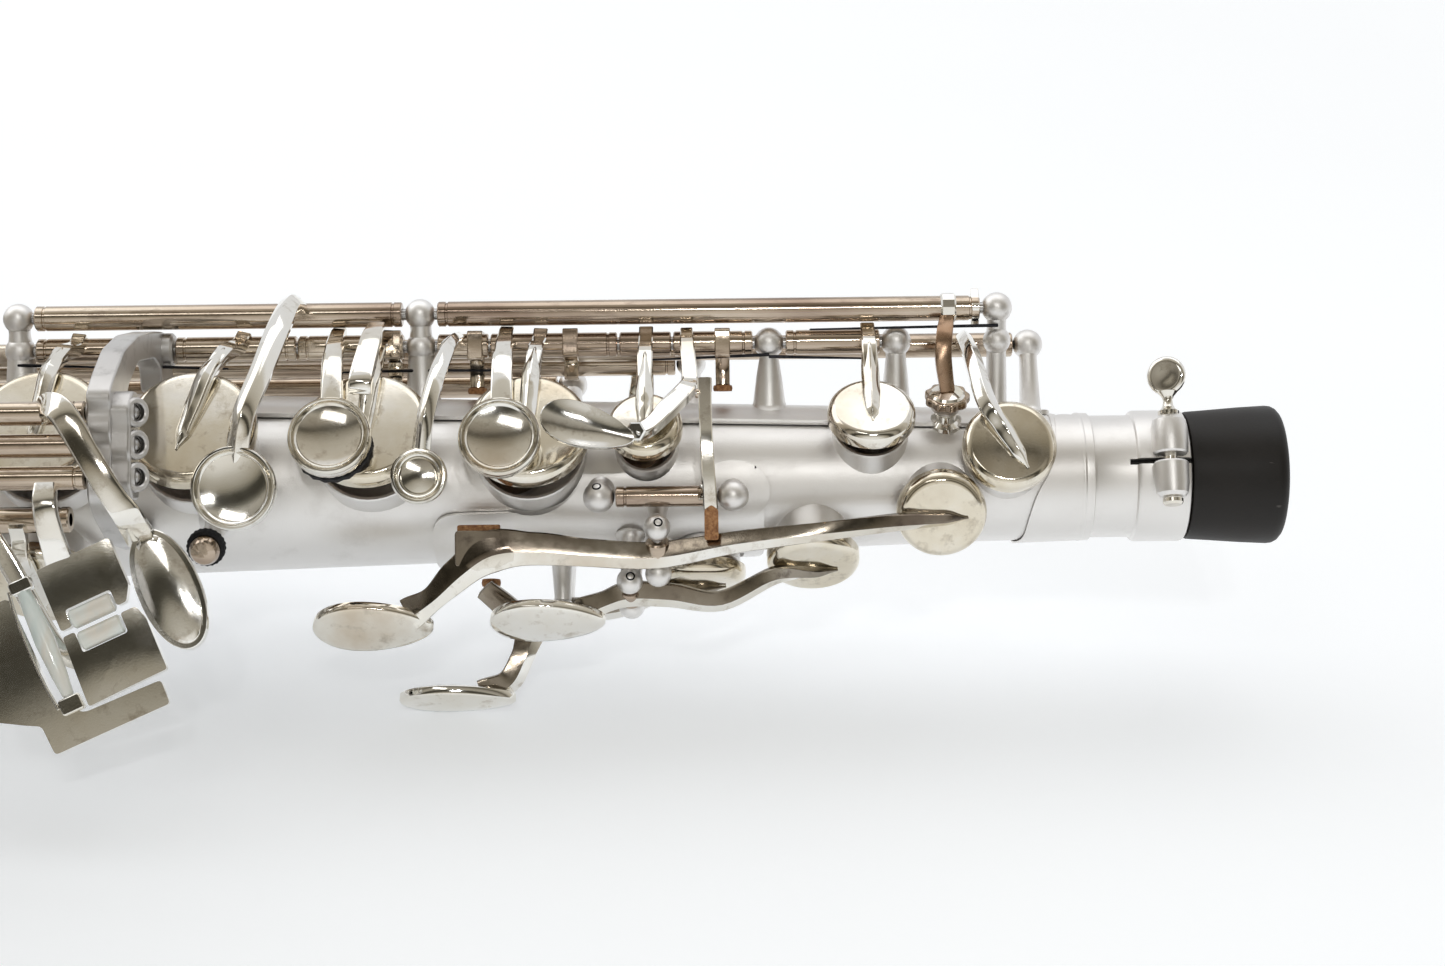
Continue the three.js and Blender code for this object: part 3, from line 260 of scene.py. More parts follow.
def pearl():
    """Mother of pearl: bent layers of green, grey and cream under a clear coat."""
    f = Finish("mother_of_pearl", {
        "Roughness": 0.22,
        "Subsurface Weight": 0.15,
        "Subsurface Radius": (0.002, 0.002, 0.002),
        "Coat Weight": 0.6,
        "Coat Roughness": 0.06,
    })
    layers = f.noise(95, 3, 0.5, (1, 0.35, 0.35), 1.2)
    tones = ((0.62, 0.74, 0.72), (0.78, 0.83, 0.80), (0.80, 0.76, 0.68), (0.58, 0.70, 0.74))
    f.use("Base Color", f.ramp(layers, list(zip((0.25, 0.45, 0.6, 0.78), tones))))
    f.bump(layers, 0.06, 0.0003)
    return f.mat


def table_paint():
    """The pale table, a little lit from within so that it stays as white as the photo's."""
    f = Finish("studio_table", {
        "Roughness": 0.7,
        "Specular IOR Level": 0.15,
        "Emission Color": (0.90, 0.94, 0.98, 1),
        "Emission Strength": 0.37,
    })
    f.use(
        "Base Color",
        f.ramp(f.noise(3, 3, 0.5), [(0.3, (0.74, 0.75, 0.765)), (0.7, (0.77, 0.78, 0.79))]),
    )
    f.bump(f.noise(260, 4, 0.6), 0.05, 0.0004)
    return f.mat


MAT = {
    "satin": metal(
        "satin_silver", (0.25, 0.5, 0.8), (
            (0.86, 0.85, 0.835), (0.83, 0.815, 0.795), (0.78, 0.76, 0.735),
        ),
        (0.37, 0.47), 0.35, 14, fine_scale=3400, stain=0.94,
    ),
    # the satin silver made darker for the arch bracket: painted shade
    "cast": metal(
        "darkened_satin_silver", (0.25, 0.5, 0.8), (
            (0.62, 0.61, 0.595), (0.57, 0.555, 0.54), (0.50, 0.485, 0.465),
        ),
        (0.36, 0.46), 0.3, 30, fine_scale=3000,
    ),
    "polished": metal(
        "polished_silver", (0.3, 0.52, 0.72), (
            (0.88, 0.87, 0.84), (0.81, 0.78, 0.71), (0.64, 0.56, 0.45),
        ),
        (0.05, 0.14), 0.05, 34,
    ),
    "cup": metal(
        "tarnished_silver", (0.3, 0.5, 0.7), (
            (0.84, 0.81, 0.75), (0.74, 0.68, 0.56), (0.58, 0.50, 0.38),
        ),
        (0.06, 0.2), 0.06, 40,
    ),
    "rod": metal(
        "tarnished_hinge", (0.3, 0.5, 0.7), (
            (0.70, 0.62, 0.51), (0.52, 0.43, 0.34), (0.30, 0.22, 0.17),
        ),
        (0.08, 0.22), 0.1, 60, stretch=(0.25, 1, 1),
    ),
    # darker silver for the palm levers' backs: partly tarnish, partly painted shade
    "lever_back": metal(
        "palm_lever_tarnish_and_painted_shade", (0.3, 0.5, 0.72), (
            (0.34, 0.31, 0.26), (0.25, 0.215, 0.17), (0.13, 0.10, 0.08),
        ),
        (0.1, 0.24), 0.08, 52,
    ),
    "steel": metal(
        "steel_screw", (0.3, 0.6), ((0.55, 0.54, 0.53), (0.38, 0.37, 0.36)), (0.18, 0.34), 0.1, 120,
    ),
    "spring": metal(
        "blued_steel_spring", (0.3, 0.7), (
            (0.03, 0.03, 0.034), (0.012, 0.012, 0.014),
        ), (0.25, 0.4), 0.05, 200,
    ),
    "copper": metal(
        "copper_brown_strip", (0.3, 0.5, 0.7), (
            (0.42, 0.30, 0.21), (0.30, 0.19, 0.12), (0.15, 0.095, 0.065),
        ),
        (0.2, 0.34), 0.1, 70,
    ),
    "plug": plug_plastic(),
    "pearl": pearl(),
    "cork": fibre("cork", ((0.50, 0.27, 0.12), (0.36, 0.17, 0.07), (0.18, 0.08, 0.035)), 1500),
    "felt": fibre("black_felt", ((0.022, 0.022, 0.024), (0.012, 0.012, 0.014), (0.004,) * 3), 3000),
    "pad": fibre("pad_leather", ((0.42, 0.29, 0.17), (0.33, 0.21, 0.12), (0.2, 0.12, 0.07)), 700),
    "dark": fibre("bore_shadow", ((0.05, 0.045, 0.04), (0.03, 0.028, 0.025), (0.02,) * 3), 300),
    "floor": table_paint(),
}
SLOTS = {
    **dict.fromkeys(("satin", "cast"), "satin_silver"),
    **dict.fromkeys(("polished", "cup", "rod", "copper", "lever_back"), "polished_silver"),
    **dict.fromkeys(("steel", "spring"), "steel"),
    "plug": "black_plastic",
    "pearl": "pearl",
}


# ---------------------------------------------------------------- meshes
class Rest:
    """Where the piece being made stands: its body, and the turn that opens its key."""

    body = "body"
    turn = Matrix.Identity(4)


def stand(body, line=None, degrees=0.0):
    """Sets the body, and the opening turn, of the pieces made next."""
    Rest.body = body
    Rest.turn = Matrix.Identity(4)
    if line:
        pivot = Matrix.Translation(on_line(line, 0))
        Rest.turn = pivot @ Matrix.Rotation(-math.radians(degrees), 4, "X") @ pivot.inverted()


def new_mesh(name, verts, faces):
    mesh = bpy.data.meshes.new(name)
    mesh.from_pydata([place(Rest.turn @ v) for v in verts], [], faces)
    mesh.validate()
    bm = bmesh.new()
    bm.from_mesh(mesh)
    bmesh.ops.recalc_face_normals(bm, faces=bm.faces)
    bm.to_mesh(mesh)
    bm.free()
    return mesh


def shade(mesh, sharp):
    mesh.polygons.foreach_set("use_smooth", [True] * len(mesh.polygons))
    mesh.set_sharp_from_angle(angle=math.radians(sharp))


def soften(obj, width, segments=2, angle=30):
    """Rounds a piece's edges that are sharper than the angle."""
    bevel = obj.modifiers.new("soft_edges", "BEVEL")
    bevel.width = width * 0.001
    bevel.segments = segments
    bevel.limit_method = "ANGLE"
    bevel.angle_limit = math.radians(angle)


def piece(name, verts, faces, look, sharp=32.0, bevel=0.0, replaces=None):
    mesh = new_mesh(name, verts, faces)
    obj = bpy.data.objects.new(name, mesh)
    bpy.context.scene.collection.objects.link(obj)
    mesh.materials.append(MAT[look])
    shade(mesh, sharp)
    if bevel:
        soften(obj, bevel)
    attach(obj, Rest.body)
    if replaces:
        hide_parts(replaces)
    return obj


def basis(direction):
    """Two unit vectors across a direction, and the direction."""
    w = direction.normalized()
    hint = UP if abs(w.z) < 0.9 else Vector((0, 1, 0))
    u = hint.cross(w).normalized()
    return u, w.cross(u).normalized(), w


def lathe_mesh(profile, centre, direction, count=48):
    """A profile of (radius, height) turned about a line; radius 0 closes it to a point."""
    u, v, w = basis(direction)
    verts, rings, faces = [], [], []
    for r, h in profile:
        if r <= 1e-6:
            rings.append([len(verts)])
            verts.append(centre + w * h)
            continue
        rings.append(list(range(len(verts), len(verts) + count)))
        verts += [centre + w * h + u * (r * c) + v * (r * s) for c, s in circle(count)]
    for a, b in zip(rings, rings[1:]):
        for i in range(count):
            j = (i + 1) % count
            if len(a) == 1 and len(b) > 1:
                faces.append((a[0], b[i], b[j]))
            elif len(b) == 1 and len(a) > 1:
                faces.append((a[i], b[0], a[j]))
            elif len(a) > 1:
                faces.append((a[i], b[i], b[j], a[j]))
    return verts, faces


def lathe(name, profile, centre, direction, look, count=48, sharp=32.0, replaces=None):
    return piece(name, *lathe_mesh(profile, centre, direction, count), look, sharp, replaces=replaces)


def merged(parts):
    """Several meshes as one."""
    verts, faces = [], []
    for v, f in parts:
        base = len(verts)
        verts += v
        faces += [tuple(base + i for i in face) for face in f]
    return verts, faces


def ball_mesh(centre, radius):
    turns = [math.pi * i / 14 for i in range(1, 14)]
    profile = [(radius * math.sin(t), -radius * math.cos(t)) for t in turns]
    return lathe_mesh([(0, -radius), *profile, (0, radius)], centre, UP, 32)


def spline(points, steps):
    """Points of a smooth curve through the given ones, with where each lies from 0 to 1."""
    out = []
    n = len(points)
    for i in range(n - 1):
        a, b = points[i], points[i + 1]
        before = points[i - 1] if i else a * 2 - b
        after = points[i + 2] if i + 2 < n else b * 2 - a
        for k in range(steps):
            t = k / steps
            out.append(
                (
                    0.5
                    * (
                        2 * a
                        + (b - before) * t
                        + (2 * before - 5 * a + 4 * b - after) * t * t
                        + (3 * a - before - 3 * b + after) * t**3
                    ),
                    (i + t) / (n - 1),
                )
            )
    out.append((points[-1], 1.0))
    return out


def along_list(values, t):
    """The value a fraction of the way along a list, eased between its entries."""
    if not isinstance(values, (list, tuple)):
        return values
    x = t * (len(values) - 1)
    i = min(int(x), len(values) - 2)
    f = x - i
    f = f * f * (3 - 2 * f)
    return values[i] * (1 - f) + values[i + 1] * f


SECTIONS = {
    "round": list(circle(16)),
    "soft": [
        (0.75, 1), (0.93, 0.93), (1, 0.7), (1, 0), (1, -0.7), (0.93, -0.93), (0.75, -1), (0, -1),
        (-0.75, -1), (
            -0.93, -0.93,
        ), (-1, -0.7), (-1, 0), (-1, 0.7), (-0.93, 0.93), (-0.75, 1), (0, 1.0),
    ],
    "ridge": [
        (0.08, 1), (0.5, 0.62), (0.93, 0.2), (1, 0.05), (1, -0.5), (0.9, -0.85), (0.6, -1), (0, -1),
        (-0.6, -1), (
            -0.9, -0.85,
        ), (-1, -0.5), (-1, 0.05), (-0.93, 0.2), (-0.5, 0.62), (-0.08, 1), (0, 1.02),
    ],
    "flat": [
        (0.8, 1), (0.97, 0.85), (1, 0.5), (1, 0), (1, -0.5), (0.97, -0.85), (0.8, -1), (0, -1),
        (-0.8, -1), (-0.97, -0.85), (-1, -0.5), (-1, 0), (-1, 0.5), (-0.97, 0.85), (-0.8, 1), (0, 1),
    ],
    "crest": [
        (0.9, 0.74), (0.98, 0.58), (1, 0.35), (1, 0), (1, -0.5), (0.97, -0.85), (0.8, -1), (0, -1),
        (-0.8, -1), (
            -0.97, -0.85,
        ), (-1, -0.5), (-1, -0.1), (-0.98, 0.06), (-0.92, 0.16), (-0.26, 1), (0.1, 0.97),
    ],
}
# the facets of the crest section, on the lever's back, that take the darker lever material: painted shade,
# with some tarnish of the plating
CREST_SHADED_FACETS = (14, 15, 0, 1, 2, 3, 4)


def sweep_mesh(points, width, height, up, section="soft", steps=6, ends=(0.55, 0.55)):
    """A bar along a smooth path. width and height may be lists spread over its length."""
    path = spline([Vector(p) for p in points], steps)
    shape = SECTIONS[section]
    rings = []
    count = len(path)
    for i, (centre, t) in enumerate(path):
        before = path[max(i - 1, 0)][0]
        after = path[min(i + 1, count - 1)][0]
        along = (after - before).normalized()
        lift = up(t) if callable(up) else up
        side = along.cross(lift).normalized()
        rise = side.cross(along).normalized()
        w = along_list(width, t) / 2
        h = along_list(height, t) / 2
        rings.append((centre, along, side, rise, w, h))
    verts, faces = [], []

    def ring(centre, side, rise, w, h):
        start = len(verts)
        for x, y in shape:
            verts.append(centre + side * (x * w) + rise * (y * h))
        return start

    starts = []
    centre, along, side, rise, w, h = rings[0]
    if ends[0]:
        starts.append(ring(centre - along * (h * ends[0] * 0.5), side, rise, w * 0.6, h * 0.6))
    for centre, along, side, rise, w, h in rings:
        starts.append(ring(centre, side, rise, w, h))
    if ends[1]:
        starts.append(ring(centre + along * (h * ends[1] * 0.5), side, rise, w * 0.6, h * 0.6))
    n = len(shape)
    for a, b in zip(starts, starts[1:]):
        for i in range(n):
            j = (i + 1) % n
            faces.append((a + i, a + j, b + j, b + i))
    faces.append(tuple(reversed(range(starts[0], starts[0] + n))))
    faces.append(tuple(range(starts[-1], starts[-1] + n)))
    return verts, faces


def sweep(
    name, points, width, height, up, look="polished", section="soft", steps=6, sharp=38,
    ends=(0.55, 0.55),
):
    return piece(name, *sweep_mesh(points, width, height, up, section, steps, ends), look, sharp)


def rod_mesh(a, b, radius, count=24, edge=0.25):
    length = (b - a).length
    edge = min(edge, length / 3, radius * 0.6)
    profile = [
        (0, 0), (radius - edge, 0), (radius, edge), (radius, length - edge), (radius - edge, length),
        (0, length),
    ]
    return lathe_mesh(profile, a, b - a, count)


def loop_edges(bm, points):
    """A closed loop of edges through flat or solid points."""
    ring = [bm.verts.new(p) for p in points]
    return [bm.edges.new((ring[i], ring[(i + 1) % len(ring)])) for i in range(len(ring))]


def flat_net(outline, cell, axes):
    """An outline filled and cut into cells no wider than cell: points, faces, and edges of its rim."""
    bm = bmesh.new()
    edges = loop_edges(bm, [(x, y, 0) for x, y in outline])
    bmesh.ops.triangle_fill(bm, use_beauty=True, use_dissolve=False, edges=edges)
    for axis in axes:
        low, high = min(p[axis] for p in outline), max(p[axis] for p in outline)
        count = int((high - low) / cell) + 1
        for i in range(1, count):
            spot, way = [0, 0, 0], [0, 0, 0]
            spot[axis], way[axis] = low + (high - low) * i / count, 1
            geom = list(bm.verts) + list(bm.edges) + list(bm.faces)
            bmesh.ops.bisect_plane(bm, geom=geom, plane_co=spot, plane_no=way)
    bm.verts.index_update()
    flat = [(v.co.x, v.co.y) for v in bm.verts]
    tris = [tuple(v.index for v in f.verts) for f in bm.faces]
    rim = [tuple(v.index for v in e.verts) for e in bm.edges if len(e.link_faces) == 1]
    bm.free()
    return flat, tris, rim


def thick_faces(k, tris, rim):
    """The faces of a sheet whose k under points are followed by its k upper points."""
    faces = [tuple(i + k for i in f) for f in tris] + [tuple(reversed(f)) for f in tris]
    return faces + [(i, j, j + k, i + k) for i, j in rim]


def plate_mesh(outline, centre, u, v, depth):
    """A flat plate: outline points (x, y) in the plane of u and v, half its depth to each side."""
    bm = bmesh.new()
    edges = loop_edges(bm, [(x, y, -depth / 2) for x, y in outline])
    fill = bmesh.ops.triangle_fill(bm, use_beauty=True, use_dissolve=True, edges=edges)
    flat = [f for f in fill["geom"] if isinstance(f, bmesh.types.BMFace)]
    made = bmesh.ops.extrude_face_region(bm, geom=flat)
    up = [g for g in made["geom"] if isinstance(g, bmesh.types.BMVert)]
    bmesh.ops.translate(bm, vec=(0, 0, depth), verts=up)
    bm.verts.index_update()
    n = u.cross(v).normalized()
    verts = [centre + u * w.co.x + v * w.co.y + n * w.co.z for w in bm.verts]
    faces = [tuple(w.index for w in f.verts) for f in bm.faces]
    bm.free()
    return verts, faces


def plate(name, outline, centre, u, v, depth, look, bevel=0.35, replaces=None, sharp=30):
    return piece(name, *plate_mesh(outline, centre, u, v, depth), look, sharp, bevel, replaces)


def crowned_mesh(outline, centre, u, v, depth, crown, reach):
    """A plate whose face is a little domed: it falls by crown at the distance reach from its middle."""
    flat, tris, rim = flat_net(outline, 1.6, (0, 1))
    mx = (min(p[0] for p in outline) + max(p[0] for p in outline)) / 2
    my = (min(p[1] for p in outline) + max(p[1] for p in outline)) / 2
    n = u.cross(v).normalized()
    verts = [centre + u * x + v * y - n * (depth / 2) for x, y in flat]
    for x, y in flat:
        fall = crown * ((x - mx) ** 2 + (y - my) ** 2) / reach**2
        verts.append(centre + u * x + v * y + n * (depth / 2 - fall))
    return verts, thick_faces(len(flat), tris, rim)


def rounded(points, radius, steps=5):
    """Rounds an outline's corners."""
    out = []
    n = len(points)
    for i in range(n):
        b = Vector(points[i])
        a, c = Vector(points[i - 1]), Vector(points[(i + 1) % n])
        r = min(radius, (a - b).length * 0.45, (c - b).length * 0.45)
        start, end = b + (a - b).normalized() * r, b + (c - b).normalized() * r
        for k in range(steps + 1):
            t = k / steps
            out.append(tuple(start * (1 - t) ** 2 + b * (2 * t * (1 - t)) + end * t * t))
    return out


def box(x0, y0, x1, y1, radius, steps=5):
    """A rectangle's outline with rounded corners."""
    return rounded([(x0, y0), (x1, y0), (x1, y1), (x0, y1)], radius, steps)


def oval(a, b, count, power):
    """An ellipse, fuller at its corners where the power is above 2."""
    k = 2 / power
    return [(a * math.copysign(abs(c) ** k, c), b * math.copysign(abs(s) ** k, s)) for c, s in circle(count)]


def toothed(radius, tooth, count):
    """A disc's outline with a fine tooth at every other step, as cut felt has."""
    rings = [radius + (tooth if i % 2 else 0) for i in range(count)]
    return [(r * c, r * s) for r, (c, s) in zip(rings, circle(count))]


def dome_mesh(outline, centre, u, v, rim, crown, thick, rows=7, edge=0.5):
    """A pressed leaf: an outline whose face rises (or, with crown < 0, dips) towards its middle."""
    n = u.cross(v).normalized()
    verts, faces = [], []
    count = len(outline)
    mx = sum(x for x, _ in outline) / count
    my = sum(y for _, y in outline) / count

    def ring(scale, height):
        start = len(verts)
        for x, y in outline:
            verts.append(
                centre + u * (mx + (x - mx) * scale) + v * (my + (y - my) * scale) + n * height
            )
        return start

    starts = [
        ring(1 - edge * 0.12, -thick), ring(1.0, -thick + edge * 0.6), ring(1.0, rim - edge * 0.5),
    ]
    starts.append(ring(1 - edge * 0.05, rim))
    for i in range(1, rows):
        t = i / rows
        starts.append(ring((1 - edge * 0.1) * (1 - t), rim + crown * (1 - (1 - t) ** 2)))
    for a, b in zip(starts, starts[1:]):
        for i in range(count):
            j = (i + 1) % count
            faces.append((a + i, a + j, b + j, b + i))
    faces.append(tuple(reversed(range(starts[0], starts[0] + count))))
    top = len(verts)
    verts.append(centre + u * mx + v * my + n * (rim + crown))
    for i in range(count):
        faces.append((starts[-1] + i, starts[-1] + (i + 1) % count, top))
    return verts, faces


# ---------------------------------------------------------------- tone holes, tube, bow and bell
Hole = namedtuple("Hole", "centre normal radius depth")


def tube_hole(s, a, radius, height=3.0):
    return Hole(on_tube(s, a, height), outward(a), radius, height + 3)


BELL_DIRECTION = at(
    -math.cos(math.radians(BELL_LEAN)), 0, 0,
) + outward(BELL_ANGLE) * math.sin(math.radians(BELL_LEAN))
BELL_PROFILE = [
    (0, 34), (40, 36), (80, 38.8), (110, 42.2), (135, 46.8), (152, 51.8), (164, 56.8), (172, 61.5),
]
BOW_END_TURN = 180 - BELL_LEAN


def bow_centre(turn):
    t = math.radians(turn)
    return at(BODY_END + BOW_LEG + BOW_RADIUS * math.sin(t), 0, 0) + outward(BELL_ANGLE) * (
        BOW_RADIUS * (1 - math.cos(t))
    )


def bow_radius(turn):
    t = turn / 180
    return (tube_radius(BODY_END) + 1) * (1 - t) + (BELL_START_RADIUS - 1) * t


BELL_START = bow_centre(BOW_END_TURN) + BELL_DIRECTION * (BOW_LEG + 3)


def bell_centre(t):
    return BELL_START + BELL_DIRECTION * t


def bell_radius(t):
    for (h0, r0), (h1, r1) in zip(BELL_PROFILE, BELL_PROFILE[1:]):
        if t <= h1:
            return r0 + (r1 - r0) * (t - h0) / (h1 - h0)
    return BELL_PROFILE[-1][1]


def bell_hole(t, a, radius):
    return Hole(bell_centre(t) + outward(a) * (bell_radius(t) + 3), outward(a), radius, 8)


HOLES = {
    "high_e": tube_hole(38, 20, 7.6),
    "palm_f": tube_hole(52, -22, 7.2),
    "octave": tube_hole(50, 56, 1.6, 3.4),
    "c_vent": tube_hole(66, 38, 7),
    "palm_eb": tube_hole(78, -56, 7.6),
    "palm_d": tube_hole(101, -72, 7.2),
    "c_cup": tube_hole(112, 25, 5.6),
    "b": tube_hole(135.6, 22, 10.6),
    "a": tube_hole(167.8, 22, 10.8),
    "g": tube_hole(203, 22, 11.2),
    "f_sharp": tube_hole(233, 22, 11.4),
    "g_sharp": tube_hole(236, -52, 10),
    "f": tube_hole(277, 48, 12.6),
    "e": tube_hole(312, 48, 13.2),
    "d": tube_hole(350, 48, 14),
    "low_eb": tube_hole(422, 136, 13),
    "side_c": tube_hole(116, 152, 7),
    "side_bb": tube_hole(142, 160, 7.4),
    "low_bb": bell_hole(72, RIGHT_SIDE, 17.5),
    "low_b": bell_hole(31, RIGHT_SIDE, 16.8),
    "low_c_sharp": bell_hole(44, -62, 15),
    "low_c": Hole(
        bow_centre(48) + outward(RIGHT_SIDE) * (bow_radius(48) + 3), outward(RIGHT_SIDE), 16.4, 8,
    ),
}
BELL_HOLES = ("low_bb", "low_b", "low_c_sharp")
BOW_HOLES = ("low_c",)
DRAWN_HOLES = [name for name in HOLES if name not in BELL_HOLES + BOW_HOLES + ("octave",)]


def cutters(names, margin=0.0):
    """The rods that cut tone holes, or that cut a strap clear of them."""
    holes = [HOLES[name] for name in names]
    ends = [(h.centre - h.normal * 12, h.centre + h.normal * 3, h.radius + margin) for h in holes]
    return [rod_mesh(foot, top, radius, 40, edge=0.0001) for foot, top, radius in ends]


def tube_core(start, end):
    """The tube between two places, 0.3 mm over size, to cut brackets clear of it."""
    profile = [
        (0, 0), (tube_radius(start) + 0.3, 0), (tube_radius(end) + 0.3, end - start), (0, end - start),
    ]
    return lathe_mesh(profile, at(start, 0, 0), DOWN_TUBE, 96)


def carve(obj, shapes, sharp=32):
    """Cuts closed shapes out of a piece for good."""
    verts, faces = merged(shapes)
    mesh = new_mesh("cutter", verts, faces)
    tool = bpy.data.objects.new("cutter", mesh)
    bpy.context.scene.collection.objects.link(tool)
    cut = obj.modifiers.new("cut", "BOOLEAN")
    cut.operation = "DIFFERENCE"
    cut.solver = "EXACT"
    cut.use_self = True
    cut.object = tool
    shown = [m for m in obj.modifiers if m != cut]
    for m in shown:
        m.show_viewport = False
    graph = bpy.context.evaluated_depsgraph_get()
    made = bpy.data.meshes.new_from_object(obj.evaluated_get(graph))
    obj.modifiers.remove(cut)
    for m in shown:
        m.show_viewport = True
    old = obj.data
    obj.data = made
    made.name = old.name
    bpy.data.meshes.remove(old)
    bpy.data.objects.remove(tool)
    bpy.data.meshes.remove(mesh)
    shade(made, sharp)


def chimneys(names):
    """The drawn rims of tone holes, each with a fillet where it leaves the tube."""
    made = []
    for name in names:
        centre, normal, r, depth = HOLES[name]
        profile = [
            (r, 0), (r + 0.55, 0.05), (r + 0.8, -0.2), (r + 0.85, -0.6), (r + 0.85, -depth),
            (r, -depth), (r, 0),
        ]
        made.append(lathe_mesh(profile, centre, normal, 40))
    return merged(made)


def body_tube():
    """The conical tube with its drawn tone holes, and the octave pip."""
    end = BODY_END - 0.3
    steps = [22 + (end - 22) * i / 12 for i in range(13)]
    profile = [(tube_radius(s), s) for s in steps]
    profile += [(tube_radius(s) - 1, s) for s in reversed(steps)]
    profile.append(profile[0])
    tube = lathe("body_tube_wall", profile, SOCKET_RIM, DOWN_TUBE, "satin", 128, replaces="body_tube")
    carve(tube, cutters(DRAWN_HOLES))
    piece("tone_hole_rims", *chimneys(DRAWN_HOLES), "satin")
    hole = HOLES["octave"]
    pip = [
        (0, -4), (3.4, -4), (3.2, -3), (2.2, -2.2), (2.0, -0.9), (2.7, -0.2), (2.5, 0), (1.2, 0),
        (1.1, -1.5), (0, -1.5),
    ]
    lathe("octave_pip", pip, hole.centre, hole.normal, "polished", 32)


def pipe_mesh(centres, radii, normal, sides=72):
    verts, faces = [], []
    for i, centre in enumerate(centres):
        before, after = centres[max(i - 1, 0)], centres[min(i + 1, len(centres) - 1)]
        side = (after - before).normalized().cross(normal).normalized()
        verts += [centre + side * (radii[i] * c) + normal * (radii[i] * s) for c, s in circle(sides)]
    return verts, [
        (
            i * sides + j, i * sides + (j + 1) % sides, (i + 1) * sides + (j + 1) % sides,
            (i + 1) * sides + j,
        )
        for i in range(len(centres) - 1)
        for j in range(sides)
    ]


def bow():
    """The bow between the two collars: an outer and an inner wall, closed at the ends."""
    turns = [BOW_END_TURN * i / 36 for i in range(37)]
    centres = [at(BODY_END + 0.3, 0, 0)] + [bow_centre(t) for t in turns] + [bell_centre(-0.3)]
    radii = [tube_radius(BODY_END)] + [bow_radius(t) for t in turns] + [BELL_START_RADIUS]
    normal = outward(RIGHT_SIDE)
    out_verts, out_faces = pipe_mesh(centres, radii, normal)
    in_verts, in_faces = pipe_mesh(centres, [r - 1 for r in radii], normal)
    base = len(out_verts)
    faces = out_faces + [tuple(base + i for i in reversed(face)) for face in in_faces]
    last = base - 72
    for j in range(72):
        k = (j + 1) % 72
        faces.append((j, base + j, base + k, k))
        faces.append((last + j, last + k, base + last + k, base + last + j))
    shell = piece("bow_wall", out_verts + in_verts, faces, "satin", replaces="bow")
    carve(shell, cutters(BOW_HOLES))
    piece("bow_hole_rim", *chimneys(BOW_HOLES), "satin")


def smooth_profile(points, steps=5):
    curve = spline([Vector((r, h, 0)) for h, r in points], steps)
    return [(p.x, p.y) for p, _ in curve]


def bell():
    """The bell, its rolled rim and its three drawn tone holes."""
    outside = smooth_profile(BELL_PROFILE)
    inside = [(r - 1, h) for r, h in reversed(outside)]
    inside[0] = (61.0, 173.2)
    bead = [(62.6, 172.2), (63.2, 173), (63.25, 174.1), (62.7, 174.9), (61.9, 175), (60.6, 174.6)]
    profile = outside + bead + inside
    profile.append(profile[0])
    shell = lathe("bell_wall", profile, BELL_START, BELL_DIRECTION, "satin", 128, replaces="bell")
    carve(shell, cutters(BELL_HOLES))
    piece("bell_hole_rims", *chimneys(BELL_HOLES), "satin")


def collar(name, centre, direction, radius, clear):
    """A ferrule with two raised rings and a clamp lug."""
    r = radius + clear
    profile = [
        (r, -7), (r + 0.6, -7.0), (
            radius + 1.7, -6.8,
        ), (radius + 2.2, -6.2), (radius + 2.35, -5), (radius + 2.2, -3.8),
        (
            radius + 1.7, -3.2,
        ), (radius + 1.5, -2), (radius + 1.5, 2), (radius + 1.7, 3.2), (radius + 2.2, 3.8),
        (radius + 2.35, 5), (radius + 2.2, 6.2), (radius + 1.7, 6.8), (r + 0.6, 7.0), (r, 7), (r, -7),
    ]
    lathe(name + "_band", profile, centre, direction, "satin", 96, replaces=name, sharp=50)
    w = direction.normalized()
    side = outward(RIGHT_SIDE - 150)
    side = (side - w * side.dot(w)).normalized()
    lug = lathe_mesh(
        [(0, -3.2), (1.6, -3.2), (1.9, -2.9), (1.9, 2.9), (1.6, 3.2), (0, 3.2)],
        centre + side * (radius + 2.4),
        side.cross(w),
        24,
    )
    piece(name + "_clamp_lug", *lug, "satin")


